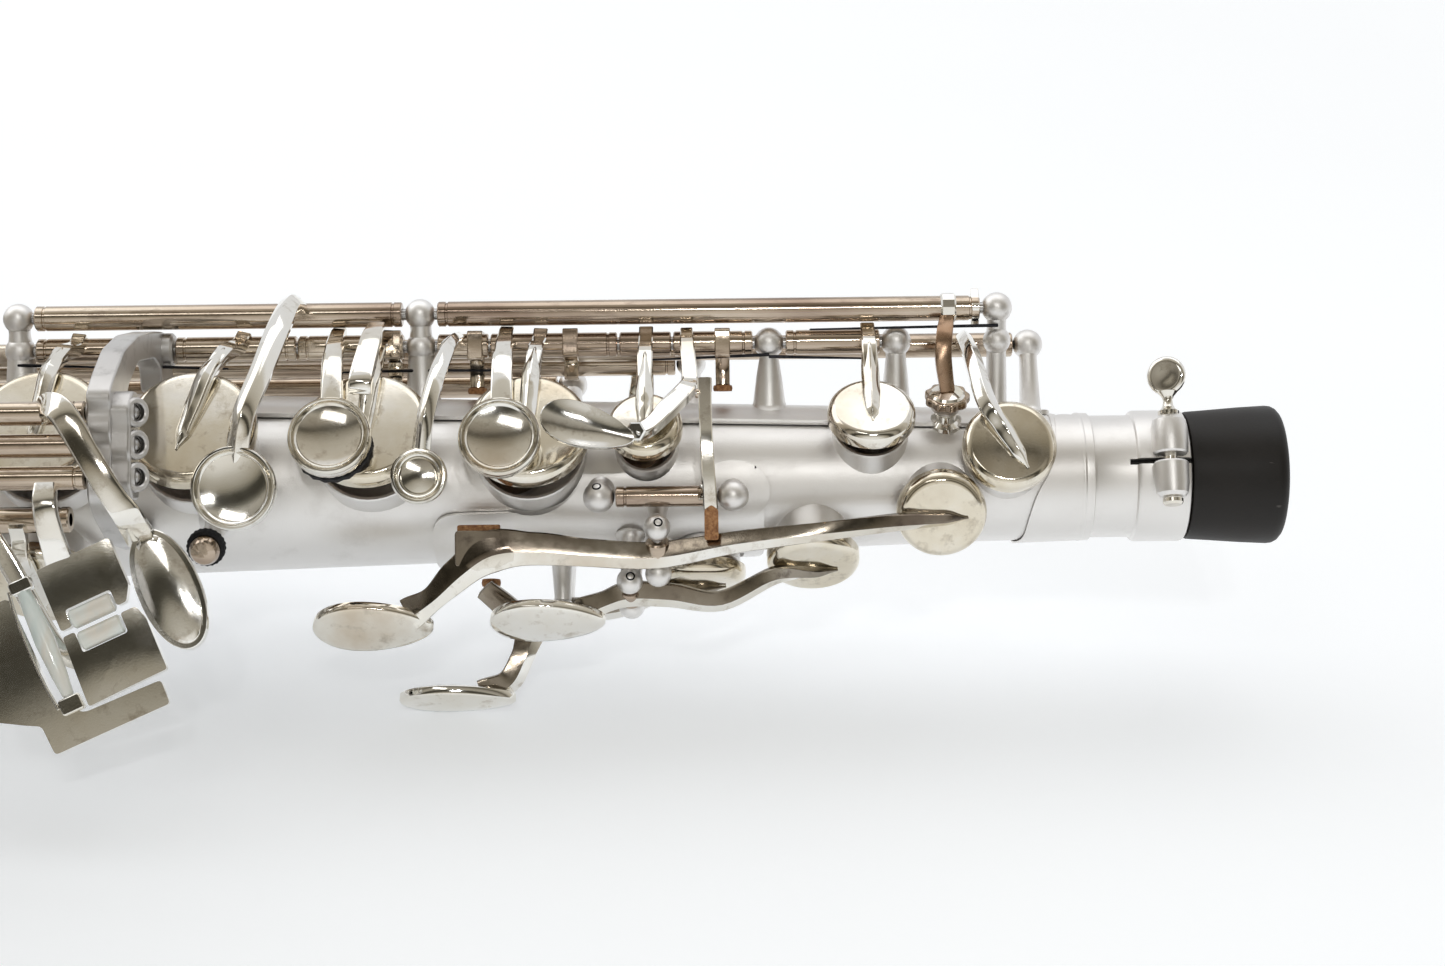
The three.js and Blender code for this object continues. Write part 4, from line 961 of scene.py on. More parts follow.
def socket_and_plug():
    """The neck socket with its split lugs, the thumb screw and the black plug."""
    profile = [
        (11.6, 0), (13.2, 0), (13.6, 0.25), (13.8, 0.7), (13.8, 10.2), (13.5, 10.8), (
            12.95, 11.1,
        ), (12.85, 11.6),
        (12.85, 19.2), (13.0, 19.7), (13.4, 19.9), (13.45, 20.8), (13.4, 21.7), (11.6, 21.7), (11.6, 0),
    ]
    socket = lathe(
        "neck_socket_sleeve", profile, SOCKET_RIM, DOWN_TUBE, "satin", 96, replaces="neck_socket",
    )
    middle = polar(4.8, 13, 15.8)
    lift = around(13)
    slot = plate_mesh(
        [(-1, -0.6), (12.6, -0.6), (12.6, 0.6), (-1, 0.6)], polar(0, 13, 15), Vector((-1, 0, 0)), lift,
        12,
    )
    carve(socket, [slot])
    upper = [
        (0, 0.8), (3.3, 0.8), (3.6, 1.2), (3.75, 3), (3.75, 6.2), (3.4, 7.9), (2.5, 8.7), (1.4, 9),
        (0, 9),
    ]
    lower = [(0, 0.8), (3.3, 0.8), (3.6, 1.2), (3.5, 5.4), (3.2, 7.4), (2.6, 8.1), (1.4, 8.4), (0, 8.4)]
    for name, shape, way in (("clamp_lug_upper", upper, lift), ("clamp_lug_lower", lower, -lift)):
        lug = lathe(name, shape, middle, way, "satin", 40)
        carve(lug, [rod_mesh(at(-3, 0, 0), at(24, 0, 0), 12.4, 64, edge=0.0001)])
    r = tube_radius(27.3) - 0.3
    ring = [
        (r, -0.8), (r + 0.3 + 0.45 * 0.7, -0.8 * 0.9), (r + 0.3 + 0.45, 0),
        (r + 0.3 + 0.45 * 0.7, 0.8 * 0.9),
    ]
    ring += [(r, 0.8), (r, -0.8)]
    lathe("receiver_ring_line", ring, at(27.3, 0, 0), DOWN_TUBE, "satin", 96, 60)
    sleeve = [
        (22.2, 17), (27, 17), (27.6, 8), (28.6, 2), (32, -3.5), (33.4, -9), (34, -16), (35.4, -21),
        (36, -30), (22.2, -30),
    ]
    skin("receiver_sleeve_edge", rounded(sleeve, 2.5), 0, 0.35, bevel=0.12)

    stand("clamp_screw")
    shank = rod_mesh(middle - lift * 8, middle + lift * 11, 1.25, 24)
    tail = lathe_mesh(
        [(0, 0), (1.9, 0), (2.1, 0.3), (2.1, 1.0), (1.7, 1.5), (0, 1.5)], middle - lift * 8.3, -lift,
        32,
    )
    collar_ = lathe_mesh(
        [
            (0, 9.2), (2.1, 9.2), (2.2, 9.8), (1.5, 10.4), (1.1, 11.2), (1.0, 12.2), (1.3, 13.0),
            (2.1, 13.9), (0, 14.2),
        ],
        middle,
        lift,
        32,
    )
    piece("clamp_screw_shank", *merged([shank, tail, collar_]), "polished", replaces="clamp_screw")
    face = Vector((-0.45, -0.86, 0.12)).normalized()
    paddle_lens("clamp_screw_paddle", middle + lift * 17.4, face, 4.1)

    stand("body")
    seam = [
        (12.5, 21.3), (13.3, 21.3), (13.5, 21.6), (13.55, 22.0), (13.45, 22.4), (13.2, 22.7),
        (12.8, 22.9), (12.5, 22.9),
    ]
    lathe("socket_seam_ring", seam, SOCKET_RIM, DOWN_TUBE, "satin", 96, sharp=60)

    stand("end_plug")
    profile = [
        (0, -20.4), (9, -20.4), (
            12.2, -20.3,
        ), (13.3, -20.0), (14.0, -19.4), (14.4, -18.6), (14.5, -17.6), (14.2, -12),
        (13.75, -6), (13.4, -1.0), (
            13.2, -0.45,
        ), (12.9, -0.3), (11.2, -0.3), (11.1, 18), (10.2, 19), (0, 19),
    ]
    lathe("end_plug_cap", profile, SOCKET_RIM, DOWN_TUBE, "plug", 96, replaces="end_plug", sharp=40)
    stand("body")


def paddle_lens(name, centre, way, radius):
    """A thumb-screw's paddle: a lens with a soft dish on each face."""
    r = radius
    half = [(0, 0.75), (r * 0.35, 0.8), (r * 0.7, 1.0), (r * 0.88, 0.95), (r * 0.97, 0.6), (r, 0)]
    profile = [(x, -y) for x, y in half] + [(x, y) for x, y in reversed(half[:-1])]
    lathe(name, profile, centre, way, "polished", 48, sharp=50)


# ---------------------------------------------------------------- ribs and posts
def skin_mesh(outline, a, thick):
    """A strap bent round the tube: outline points are (s, distance round from a)."""
    flat, tris, rim = flat_net(outline, 1.2, (1,))
    verts = []
    for lift in (0.3, 0.3 + thick):
        for s, d in flat:
            r = tube_radius(s)
            verts.append(polar(s, a + math.degrees(d / r), r + lift))
    return verts, thick_faces(len(flat), tris, rim)


def skin(name, outline, a, thick=1.0, bevel=0.25, cut=(), replaces=None):
    """A strap on the tube, cut clear of tone holes."""
    obj = piece(name, *skin_mesh(outline, a, thick), "satin", 40, replaces=replaces)
    if cut:
        carve(obj, cutters(cut, 1.6), 40)
    if bevel:
        soften(obj, bevel, angle=50)


def post_column(foot_point, top, foot, neck):
    """A tapered post with a spread foot."""
    h = (top - foot_point).length
    profile = [(0, 0), (foot + 0.9, 0), (foot + 0.85, 0.35), (foot + 0.35, 0.8), (foot + 0.05, 1.5)]
    profile += [
        (foot * 0.55 + neck * 0.45, h * 0.5), (neck + 0.1, h - 3.2), (neck + 0.15, h - 2.4),
        (0, h - 1.5),
    ]
    return lathe_mesh(profile, foot_point, top - foot_point, 36)


def screw_face(centre, direction, radius, name, look="steel"):
    """A pivot screw's slotted head, a little proud of its post."""
    profile = [(0, -0.6), (radius, -0.6), (radius, 0.25), (radius - 0.25, 0.5), (0, 0.55)]
    head = lathe(name, profile, centre, direction, look, 28)
    u, v, w = basis(direction)
    slot = plate_mesh(
        [(-radius - 1, -0.22), (radius + 1, -0.22), (radius + 1, 0.22), (-radius - 1, 0.22)],
        centre + w * 0.4, u, v, 0.6,
    )
    carve(head, [slot])


def line_post(line, s, foot, neck, extra=()):
    """Meshes of a post whose ball holds a hinge line."""
    a, r = around_line(line)
    top = polar(s, a, r)
    return [
        post_column(on_tube(s, a, 0.5), top, foot, neck),
    ] + [ball_mesh(p, 3.2) for p in (top, *extra)]


def pivot_hole(name, centre, radius, way):
    """The socket of a pivot screw in a post's ball, drawn as a shallow near-black cup: painted shade of the
    hole.
    """
    profile = [
        (0, radius - 1.2), (0.95, radius - 1.2), (0.95, radius - 0.12), (0.7, radius + 0.06),
        (0.55, radius - 0.25), (0, radius - 0.3),
    ]
    lathe(name, profile, centre, way, "spring", 24)


def upper_rib():
    names = ["high_e", "octave", "c_vent", "b", "a", "g", "f_sharp"]
    outline = rounded([(35, -7), (247, -9), (247, 4), (35, 2.2)], 3)
    skin("upper_rib_strap", outline, 80, cut=names, replaces="upper_stack_rib")
    edge = [on_tube(s, 80 + math.degrees(d / tube_radius(s)), 0.9) for s, d in ((74, -7.2), (124, -7.5))]
    piece("upper_rib_bead", *sweep_mesh(edge, 0.9, 1.0, outward(50), "round"), "satin")
    lower = polar(39, *around_line((5.6, 28.6)))
    made = []
    for line, s, foot, neck, extra in (
        (LINE_A, 39, 2.2, 1.9, ()),
        (LINE_A, 159, 3.4, 2.1, (on_line(LINE_B, 159),)),
        (LINE_A, 242.6, 3.4, 2.1, (on_line(LINE_B, 242.6),)),
        (LINE_B, 60, 3, 2, ()),
        (LINE_B, 86.5, 3.3, 1.9, ()),
    ):
        made += line_post(line, s, foot, neck, extra=extra)
    made.append(ball_mesh(lower, 2.9))
    piece("upper_rib_posts", *merged(made), "satin")


def lower_rib():
    outline = box(250, -7, 440, 1.4, 3)
    skin("lower_rib_strap", outline, 92, cut=("f", "e", "d"), replaces="lower_stack_rib")
    made = []
    for s in (252.5, 325, 398, 431):
        made += line_post(LINE_D, s, 3, 2.2)
    piece("lower_rib_posts", *merged(made), "satin")


def side_rib():
    outline = [(27, -5.8), (118, -6), (124, -4), (338, -4), (338, 7), (112, 7), (98, 1), (27, -1)]
    skin("side_rib_strap", rounded(outline, 3), 120, cut=("side_c", "side_bb"), replaces="side_key_rib")
    made = []
    for line, s, foot, neck in (
        (LINE_SIDE_C, 103, 2.8, 2),
        (LINE_SIDE_C, 334, 2.8, 2),
        (LINE_SIDE_BB, 129, 2.8, 2),
        (LINE_SIDE_BB, 334, 2.8, 2),
        (LINE_HIGH_E, 31, 2.2, 1.8),
        (LINE_HIGH_E, 334, 2.8, 2),
    ):
        made += line_post(line, s, foot, neck)
    piece("side_rib_posts", *merged(made), "satin")


def palm_plate():
    """The plate under the palm keys, with their pins' posts and the front F posts."""
    outline = [
        (88, 9), (98, 12), (128, 12), (134, 5), (156, 5), (156, -14), (138, -22), (104, -22), (88, -12),
    ]
    names = ("palm_eb", "palm_d", "c_cup", "b", "a")
    skin(
        "palm_plate_base", rounded(outline, 5), -38, 1.0, cut=names, replaces="palm_key_plate",
        bevel=0.35,
    )
    made = []
    for s, a in PALM_PINS.values():
        for side in (1, -1):
            centre = on_tube(s, a, PALM_PIN_HEIGHT) + around(a) * (side * 5.6)
            foot = on_tube(s, a, 0.2) + around(a) * (side * 5.2)
            made += [post_column(foot, centre, 2.2, 1.7), ball_mesh(centre, 2.7)]
    made += line_post(LINE_FRONT, 94.4, 2.6, 2) + line_post(LINE_FRONT, 121.4, 2.6, 2)
    piece("palm_plate_posts", *merged(made), "satin")
    facing = Vector((0.1, -0.9, 0.42))
    for i, (s, a) in enumerate(PALM_PINS.values()):
        pivot_hole(
            f"palm_pivot_hole_{i + 1}", on_tube(s, a, PALM_PIN_HEIGHT) + around(a) * 5.6, 2.7, facing,
        )
    pivot_hole("front_pivot_hole", on_line(LINE_FRONT, 121.4), 3.2, Vector((-0.1, -0.7, 0.7)))
    ring = [(94.4 + 7.6 * c, 5.6 * s) for c, s in circle(40)]
    skin("front_post_pad", ring, around_line(LINE_FRONT)[0], 2.1, bevel=0.5)


def arch_bracket():
    """The arched bracket of the little-finger keys, with three slanted pivot eyes."""
    outline = [
        (-1, 31.6), (6, 32.4), (14, 32), (28, 30.4), (39, 27), (47, 21.5), (
            50.4, 18.6,
        ), (51, 17), (50, 14.4), (51, 12.2),
        (51, 10.6), (50, 8.2), (51, 6), (51, 4.2), (50, 2), (51, -0.2), (
            50.4, -2.6,
        ), (46, -6), (36, -11), (22, -12.6),
        (
            16.4, -11,
        ), (18.2, -7), (30, -9), (38.5, -5), (41, 2), (40.6, 13), (36, 20), (28, 25), (14, 26.5),
        (8.6, 24.6), (7.6, 19.6), (-2.6, 20.6),
    ]
    u, v = FRONT, UP
    shape = rounded(outline, 1.6, 3)
    # the bracket's pieces take the darkened satin silver: painted shade
    obj = plate(
        "arch_bracket_web", shape, at(214.8, 0, 0), u, v, 4.6, "cast", bevel=0.9,
        replaces="arch_bracket",
    )
    carve(obj, [tube_core(200, 228)])
    flange = [
        (42.6, 18.5), (46.8, 18.5), (50.2, 15.2), (49.4, 11.3), (50.2, 7), (49.4, 5.1), (50.2, 0.4),
        (47.4, -2.4), (42.6, -2.4),
    ]
    plate("arch_bracket_flange", rounded(flange, 1.2, 4), at(212.4, 0, 0), u, v, 6.6, "cast", bevel=0.5)
    piece(
        "arch_bracket_boss", *rod_mesh(on_line(LINE_B, 210.4), on_line(LINE_B, 217.8), 3.5, 36, 0.5),
        "cast",
    )
    slant = Vector((0.8, -0.6, 0))
    for i, line in enumerate((LINE_P1, LINE_P2, LINE_P3)):
        bore = on_line(line, 208.6)
        eye = bore + at(-0.6, 1.4, 0)
        tube = [
            (0, -1.3), (1.7, -1.3), (1.7, -0.2), (1.95, 0.05), (2.5, 0.05), (2.85, -0.3), (3.0, -3.4),
            (0, -3.4),
        ]
        lathe(f"arch_bracket_eye_{i + 1}", list(reversed(tube)), eye, slant, "cast", 40)
        lathe(
            f"arch_eye_shadow_{i + 1}", [(0, -1.32), (1.6, -1.32), (1.6, -1.2), (0, -1.2)], eye, slant,
            "dark", 28,
        )
        lathe(
            f"arch_pivot_screw_{i + 1}",
            [(0, -1.3), (1.05, -1.3), (1.05, -0.75), (0.7, -0.5), (0, -0.45)], eye, slant, "steel", 28,
        )
        piece(f"arch_bracket_tube_{i + 1}", *rod_mesh(bore, on_line(line, 217.8), 3.0, 36, 0.5), "cast")


def pinky_post():
    outline = [
        (15, -4), (30, -3), (41, -1), (50, -1.5), (50, 18), (42, 18), (40, 8), (30, 4.6), (15, 5),
    ]
    u, v = FRONT, UP
    shape = rounded(outline, 2.5, 4)
    obj = plate(
        "pinky_post_web", shape, at(265, 0, 0), u, v, 5, "satin", bevel=0.8, replaces="pinky_post",
    )
    carve(obj, [tube_core(255, 275)])
    lines = (LINE_P1, LINE_P2, LINE_P3)
    bosses = [rod_mesh(on_line(line, 262), on_line(line, 268), 3.0, 36, 0.6) for line in lines]
    piece("pinky_post_bosses", *merged(bosses), "satin")


def bell_foot(line, s, above):
    """Where a post of a bell hinge line stands on the bell."""
    t = (-BELL_START.x - s) / math.cos(math.radians(BELL_LEAN))
    centre = bell_centre(t)
    direction = on_line(line, s) - centre
    direction.x = 0
    direction.normalize()
    foot = centre.copy()
    foot.x = -s
    return foot + direction * (bell_radius(t) + above)


def bell_rail(node, line, places, up):
    """A strip on the bell with its ball posts."""
    rail = sweep_mesh([bell_foot(line, s, 1.4) for s in places], 7, 1.6, outward(up), "flat", 8)
    made = []
    for s in places:
        foot, top = bell_foot(line, s, 1.6), on_line(line, s)
        made += [post_column(foot, top, 3.2, 2.2), ball_mesh(top, 3.2)]
    piece(node + "_strip", *rail, "satin", replaces=node)
    piece(node + "_balls", *merged(made), "satin")


def bow_post():
    a, r = around_line(LINE_D)
    foot, top = polar(474, a, tube_radius(BODY_END) + 1.4), polar(474, a, r)
    made = [post_column(foot, top, 3.0, 2.2), ball_mesh(top, 3.2)]
    piece("bow_post_column", *merged(made), "satin", replaces="bow_post")


def bell_brace():
    fore, across = outward(BELL_ANGLE), outward(RIGHT_SIDE)
    start = tube_radius(330) + 0.5
    end = bell_centre(125).dot(fore) - bell_radius(125) - 0.7
    middle = (start + end) / 2
    centre = at(330, 0, 0) + fore * middle
    ring = lathe_mesh(
        [
            (4.9, -1.6), (5.3, -2.3), (6.9, -2.3), (7.5, -1.6), (7.5, 1.6), (6.9, 2.3), (5.3, 2.3),
            (4.9, 1.6), (4.9, -1.6),
        ],
        centre,
        across,
        64,
    )
    made = [ring]
    for foot, way, wide in ((start, 1, 5), (end, -1, 5.4)):
        h = abs(middle - foot) - 6
        shape = [(0, 0), (wide, 0), (wide, 0.6), (wide - 0.8, 1.2), (2.8, h * 0.7), (2.6, h), (0, h)]
        made.append(lathe_mesh(shape, at(330, 0, 0) + fore * foot, fore * way, 40))
    piece("bell_brace_ring", *merged(made), "satin", replaces="bell_brace", sharp=40)


def bell_guard():
    """The wire guard over the two bell keys, with its felted bosses."""
    height = 17.5
    made = []
    bosses = []
    for name, way in (("low_bb", 0), ("low_b", 180)):
        centre, normal, radius, _ = HOLES[name]
        side = ALONG.cross(normal).normalized()
        forward = normal.cross(side).normalized()
        fore = forward * math.cos(math.radians(way))
        path = [centre + fore * (radius + 4.2) + normal * h for h in (-6, 2, height - 6)]
        path += [centre + fore * (radius * 0.7) + normal * height, centre + normal * height]
        made.append(sweep_mesh(path, 3, 3, side, "round", 6))
        made.append(
            lathe_mesh(
                [(0, 0), (4.4, 0), (4.4, 0.5), (3.2, 1.2), (0, 1.3)],
                centre + fore * (radius + 4.2) - normal * 5.6, normal, 32,
            )
        )
        boss = [
            (0, -3.4), (4.2, -3.4), (4.6, -3.0), (4.6, 1.4), (4.2, 1.9), (3.2, 2), (3.0, 1.4), (0, 1.4),
        ]
        bosses.append(lathe_mesh(boss, centre + normal * height, normal, 40))
    ends = [HOLES[n].centre + HOLES[n].normal * height for n in ("low_b", "low_bb")]
    made.append(
        sweep_mesh(
            [ends[0], (ends[0] + ends[1]) / 2, ends[1]], 3.4, 2.6, outward(RIGHT_SIDE), "soft", 4,
        )
    )
    piece("bell_guard_wires", *merged(made), "satin", replaces="bell_key_guard")
    piece("bell_guard_bosses", *merged(bosses), "satin")
    for i, name in enumerate(("low_b", "low_bb")):
        hole = HOLES[name]
        felt = [(0, -3.4), (3.6, -3.4), (3.7, -4.6), (3.3, -5.2), (0, -5.3)]
        lathe(
            f"bell_guard_felt_{i + 1}", felt, hole.centre + hole.normal * height, hole.normal, "felt",
            32,
        )


def thumb_side():
    """What sits on the back: hook, thumb rest, strap ring and the octave lever's posts."""
    a, s = 186, 300
    skin("thumb_hook_base", box(s - 12, -6, s + 12, 6, 3), a, 1.6, replaces="thumb_hook")
    r = tube_radius(s)
    path = [
        polar(s, a, r + 1), polar(s + 2, a, r + 10), polar(s + 1, a - 8, r + 17),
        polar(s, a - 20, r + 18),
    ]
    sweep("thumb_hook_arm", path, [9, 10, 11, 11], 3, ALONG, "satin", "flat", 8)
    for i, ds in enumerate((-8.5, 8.5)):
        screw_face(polar(s + ds, a, r + 2), outward(a), 1.6, f"thumb_hook_screw_{i + 1}")
    a, s = 196, 208
    rest = [(0, 0), (8.6, 0), (9, 0.4), (9, 2.2), (8.4, 3.0), (7, 3.7), (4, 4.1), (0, 4.2)]
    lathe(
        "thumb_rest_button", rest, on_tube(s, a, 1.6), outward(a), "plug", 56, replaces="thumb_rest",
        sharp=50,
    )
    lathe(
        "thumb_rest_seat", [(0, -1.6), (7.4, -1.6), (7.4, 0.1), (0, 0.1)], on_tube(s, a, 1.6),
        outward(a), "satin", 48,
    )
    a, s = 188, 246
    skin("strap_ring_base", box(s - 10, -5, s + 10, 5, 3), a, 1.4, replaces="strap_ring")
    middle = on_tube(s, a, 9)
    ring = [(6.8 + 1.6 * math.cos(math.pi * i / 8), 1.6 * math.sin(math.pi * i / 8)) for i in range(17)]
    hoop = lathe("strap_ring_hoop", ring, middle, around(a), "satin", 64, sharp=80)
    carve(hoop, [tube_core(226, 266)], 60)
    outline = box(159, -4, 199, 4, 3)
    skin("octave_post_base", outline, 165, replaces="octave_posts")
    made = line_post(LINE_OCTAVE, 162, 2.8, 2) + line_post(LINE_OCTAVE, 196, 2.8, 2)
    piece("octave_post_balls", *merged(made), "satin")


def steel_rods():
    for node, line, a, b in (
        ("top_hinge_rod", LINE_A, 37, 244.6),
        ("stack_hinge_rod", LINE_B, 58, 245),
        ("lower_hinge_rod", LINE_D, 250.5, 433),
    ):
        piece(
            node + "_steel", *rod_mesh(on_line(line, a), on_line(line, b), 1.2, 24), "steel",
            replaces=node,
        )


# ---------------------------------------------------------------- key parts
def hinge_mesh(line, a, b, radius):
    """A hinge tube with a turned ring near each end."""
    length = b - a
    ring = 0.22
    profile = [(1.3, 0), (radius - 0.25, 0), (radius, 0.25)]
    if length > 12:
        profile += [(radius, 1.6), (radius - ring, 1.75), (radius - ring, 2.05), (radius, 2.2)]
        profile += [
            (radius, length - 2.2), (radius - ring, length - 2.05), (radius - ring, length - 1.75),
            (radius, length - 1.6),
        ]
    profile += [(radius, length - 0.25), (radius - 0.25, length), (1.3, length), (1.3, 0)]
    return lathe_mesh(profile, on_line(line, a), DOWN_TUBE, 40)


def hinge(key, line, a, b, radius=2.6):
    """The tube that a key turns on. It also stands for the key's solid."""
    piece(key + "_tube", *hinge_mesh(line, a, b, radius), "rod", replaces=key)


def cup_top(name, above=0.0):
    """The middle of a cup's top."""
    hole = HOLES[name]
    return hole.centre + hole.normal * (CUP_HEIGHT + above)


def cup(key, name, look="cup"):
    """A key cup with its leather pad and the pad's metal resonator."""
    centre, normal, radius, _ = HOLES[name]
    r = radius + 2
    profile = [
        (0, 2.4), (r - 0.8, 2.4), (
            r - 0.75, 0.95,
        ), (r - 0.35, 0.75), (r, 0.95), (r, 2.6), (r - 0.12, 3.15),
        (r - 0.5, 3.75), (r - 1.0, 4.2), (r - 1.5, 4.45), (r - 1.9, 4.5), (r - 2.3, 4.52), (
            r * 0.55, 4.78,
        ), (0, 4.9),
    ]
    lathe(key + "_cup", profile, centre, normal, look, 72, 28)
    pad = [(0, 0.35), (r - 1.3, 0.35), (r - 0.95, 0.6), (r - 0.85, 1.2), (r - 0.9, 2.2), (0, 2.2)]
    lathe(key + "_pad", pad, centre, normal, "pad", 48)
    size = radius * 0.5
    lathe(
        key + "_resonator", [(0, 0.3), (size - 0.5, 0.25), (size, 0.45), (0, 0.5)], centre, normal,
        "steel", 32,
    )


def spear(key, line, s, name, lift=2.4, wide=3.7, tip=0.5):
    """The arm from a hinge tube up over a cup's edge and across its face, tapering to a point."""
    hole = HOLES[name]
    normal = hole.normal
    start = on_line(line, s)
    end = cup_top(name)
    toward = end - start
    toward = (toward - normal * toward.dot(normal)).normalized()
    r = hole.radius + 2
    crest = start + toward * 1.4 + normal * 3.1
    edge = end - toward * (r * 0.84) + normal * 1.9
    middle = crest.lerp(edge, 0.5) + normal * (lift * 0.55)
    bar = [
        start - toward * 1.7 + normal * 2.4, crest, crest.lerp(middle, 0.6) + normal * (lift * 0.12),
        middle, edge - normal * 0.3,
    ]
    wrap = sweep_mesh(
        bar, [3.0, 3.0, 3.1, 3.2, 2.6], [2.4, 2.7, 2.8, 2.5, 1.8], normal, "flat", 6, (0, 0.2),
    )
    piece(key + "_arm_wrap", *wrap, "polished", 24)
    path = [
        crest.lerp(middle, 0.72), middle, edge, end - toward * (r * 0.3) + normal * 1.35,
        end + toward * (r * 0.15) + normal * 0.8,
    ]
    path.append(end + toward * (r * tip) + normal * 0.05)
    widths = [1.0, wide * 0.86, wide, wide * 0.98, wide * 0.78, 0.5]
    heights = [1.2, 2.9, 2.9, 2.7, 2.0, 0.5]
    sweep(key + "_arm", path, widths, heights, normal, "polished", "ridge", 7, 24, (0, 0))


def button(key, centre, a, r, h=5.0, dish=True):
    """A round touch with a rolled rim and a dished or domed face."""
    profile = [
        (0, 0.25), (r * 0.62, 0.1), (r * 0.78, 0.35), (r * 0.92, 1.0), (r * 0.985, 2.0), (r, h - 1.5),
        (r, h - 1.0),
    ]
    profile += [
        (r - 0.1, h - 0.5), (r - 0.4, h - 0.12), (r - 0.7, h - 0.1), (r - 0.95, h - 0.35),
        (r - 1.05, h - 0.6),
    ]
    profile += [(r - 1.15, h - 0.35), (r - 1.4, h - 0.15), (r - 1.65, h - 0.3), (r - 1.9, h - 0.62)]
    if dish:
        profile += [(r * 0.6, h - 0.95), (r * 0.3, h - 1.2), (0, h - 1.3)]
    else:
        profile += [(r * 0.6, h - 0.25), (r * 0.3, h + 0.05), (0, h + 0.15)]
    lathe(key + "_touch", profile, centre, outward(a), "polished", 72, 34)


def corks(name, centre, normal, radius, thick):
    profile = [(0, 0), (radius, 0), (radius + 0.15, thick * 0.5), (radius, thick), (0, thick)]
    lathe(name, profile, centre, normal, "cork", 28)


# ---------------------------------------------------------------- the keys
def arm_to_touch(key, points, up, widths, heights, section="ridge"):
    sweep(key + "_touch_arm", points, widths, heights, up, "polished", section, 7, 32, (0.6, 0.4))


def stack_keys():
    """The keys of the upper and lower stacks."""
    for key, a, b, name, s, opened in (
        ("c_vent_key", 63.5, 83, "c_vent", 66, 7),
        ("c_key", 106.9, 117.6, "c_cup", 112, STACK_OPEN),
        ("b_key", 118.1, 144.4, "b", 134, STACK_OPEN),
        ("a_key", 162.6, 184.4, "a", 166, STACK_OPEN),
        ("g_cup_key", 184.9, 209.9, "g", 196, STACK_OPEN),
        ("f_sharp_key", 218.3, 238.9, "f_sharp", 230, STACK_OPEN),
    ):
        stand(key, LINE_B, opened)
        hinge(key, LINE_B, a, b)
        cup(key, name, "cup" if name != "c_vent" else "polished")
        spear(key, LINE_B, s, name)
    touch_arm_and_button("b_key", LINE_B, 141, (140.4, 25.4, 4.4), 10, 8.2, STACK_OPEN)
    touch_arm_and_button("a_key", LINE_B, 176, (173.8, 26.6, 4.6), 12, 8.2, STACK_OPEN)
    stand("a_key", LINE_B, STACK_OPEN)
    middle = at(173.8, 26.6, 4.6) - outward(12) * 0.5
    plate("a_key_felt", toothed(7.7, 0.28, 40), middle, ALONG, around(12), 1.6, "felt", bevel=0.1)
    short = [at(167.2, 13, 31.5), at(167.2, 21, 26.5), at(168.2, 26.6, 17.8), at(168.4, 26.2, 14.8)]
    sweep(
        "a_key_tab", short, [3.4, 4.2, 4.6, 4.6], [1.6, 2.2, 2.4, 2.0], outward(30), "polished", "flat",
        6,
    )

    stand("g_key")
    hinge("g_key", LINE_A, 162.7, 238.9)
    path = [
        at(184, 8.4, 37.4), at(184.4, 16, 37.2), at(185.2, 25.5, 31.5), at(187.5, 33, 22),
        at(190, 37.4, 14), at(191.4, 36.8, 7), at(192, 34.9, 2),
    ]
    arm_to_touch(
        "g_key", path, outward(32), [3.6, 4.4, 4.8, 4.6, 4.4, 4.6, 4.8],
        [3.4, 3.2, 3.2, 3.0, 2.6, 2.2, 2],
    )
    button("g_key", at(192, 33.5, -0.6), 4, 8.4)

    stand("bis_key")
    hinge("bis_key", LINE_B, 144.9, 155.4)
    path = [
        at(151, 7, 30.4), at(151.2, 22, 28.4), at(152.6, 31.6, 22), at(154.6, 35.6, 13.4),
        at(155.8, 34.8, 5),
    ]
    arm_to_touch("bis_key", path, outward(34), [2.8, 3.2, 3.4, 3.4, 3.6], [2.6, 2.4, 2.3, 2.2, 2])
    button("bis_key", at(156, 33, 1.2), 8, 5.6, 4, dish=False)

    for key, name, a, b, s in (
        ("f_key", "f", 256.1, 289, 262),
        ("e_key", "e", 289.5, 321.4, 297),
        ("d_key", "d", 328.6, 394.4, 334),
    ):
        stand(key, LINE_D, STACK_OPEN)
        hinge(key, LINE_D, a, b)
        cup(key, name)
        spear(key, LINE_D, -HOLES[name].centre.x, name)
        touch_arm_and_button(key, LINE_D, s, (s, 28.6, 23.4), 38, 7.4, STACK_OPEN, dished_pearl=True)


def key_feet():
    """Square lugs on the stack tubes, each with a foot that reaches down behind to its cork."""
    for name, key, s, opened, drop, corked in (
        ("front_f_foot", "front_f_key", 96.2, 0, 8.6, True),
        ("b_foot", "b_key", 127.8, STACK_OPEN, 6.6, False),
        ("bis_foot", "bis_key", 147.6, 0, 8.6, True),
        ("a_foot", "a_key", 164.6, STACK_OPEN, 7.0, False),
    ):
        stand(key, LINE_B, opened)
        middle = on_line(LINE_B, s)
        lug = box(-3.1, -3.1, 3.1, 3.1, 0.9, 3)
        plate(name + "_lug", lug, middle, Vector((0, 1, 0)), UP, 3.2, "rod", bevel=0.3)
        path = [
            middle + at(0, -1.6, -1), middle + at(0, -2.4, -drop * 0.55), middle + at(0, -2.2, -drop),
        ]
        sweep(name + "_bar", path, 3.0, [2.4, 2.2, 2.6], FRONT, "rod", "flat", 5)
        if corked:
            corks(name + "_cork", middle + at(0, -2.2, -drop - 1.3), UP, 1.9, 1.2)
    stand("body")


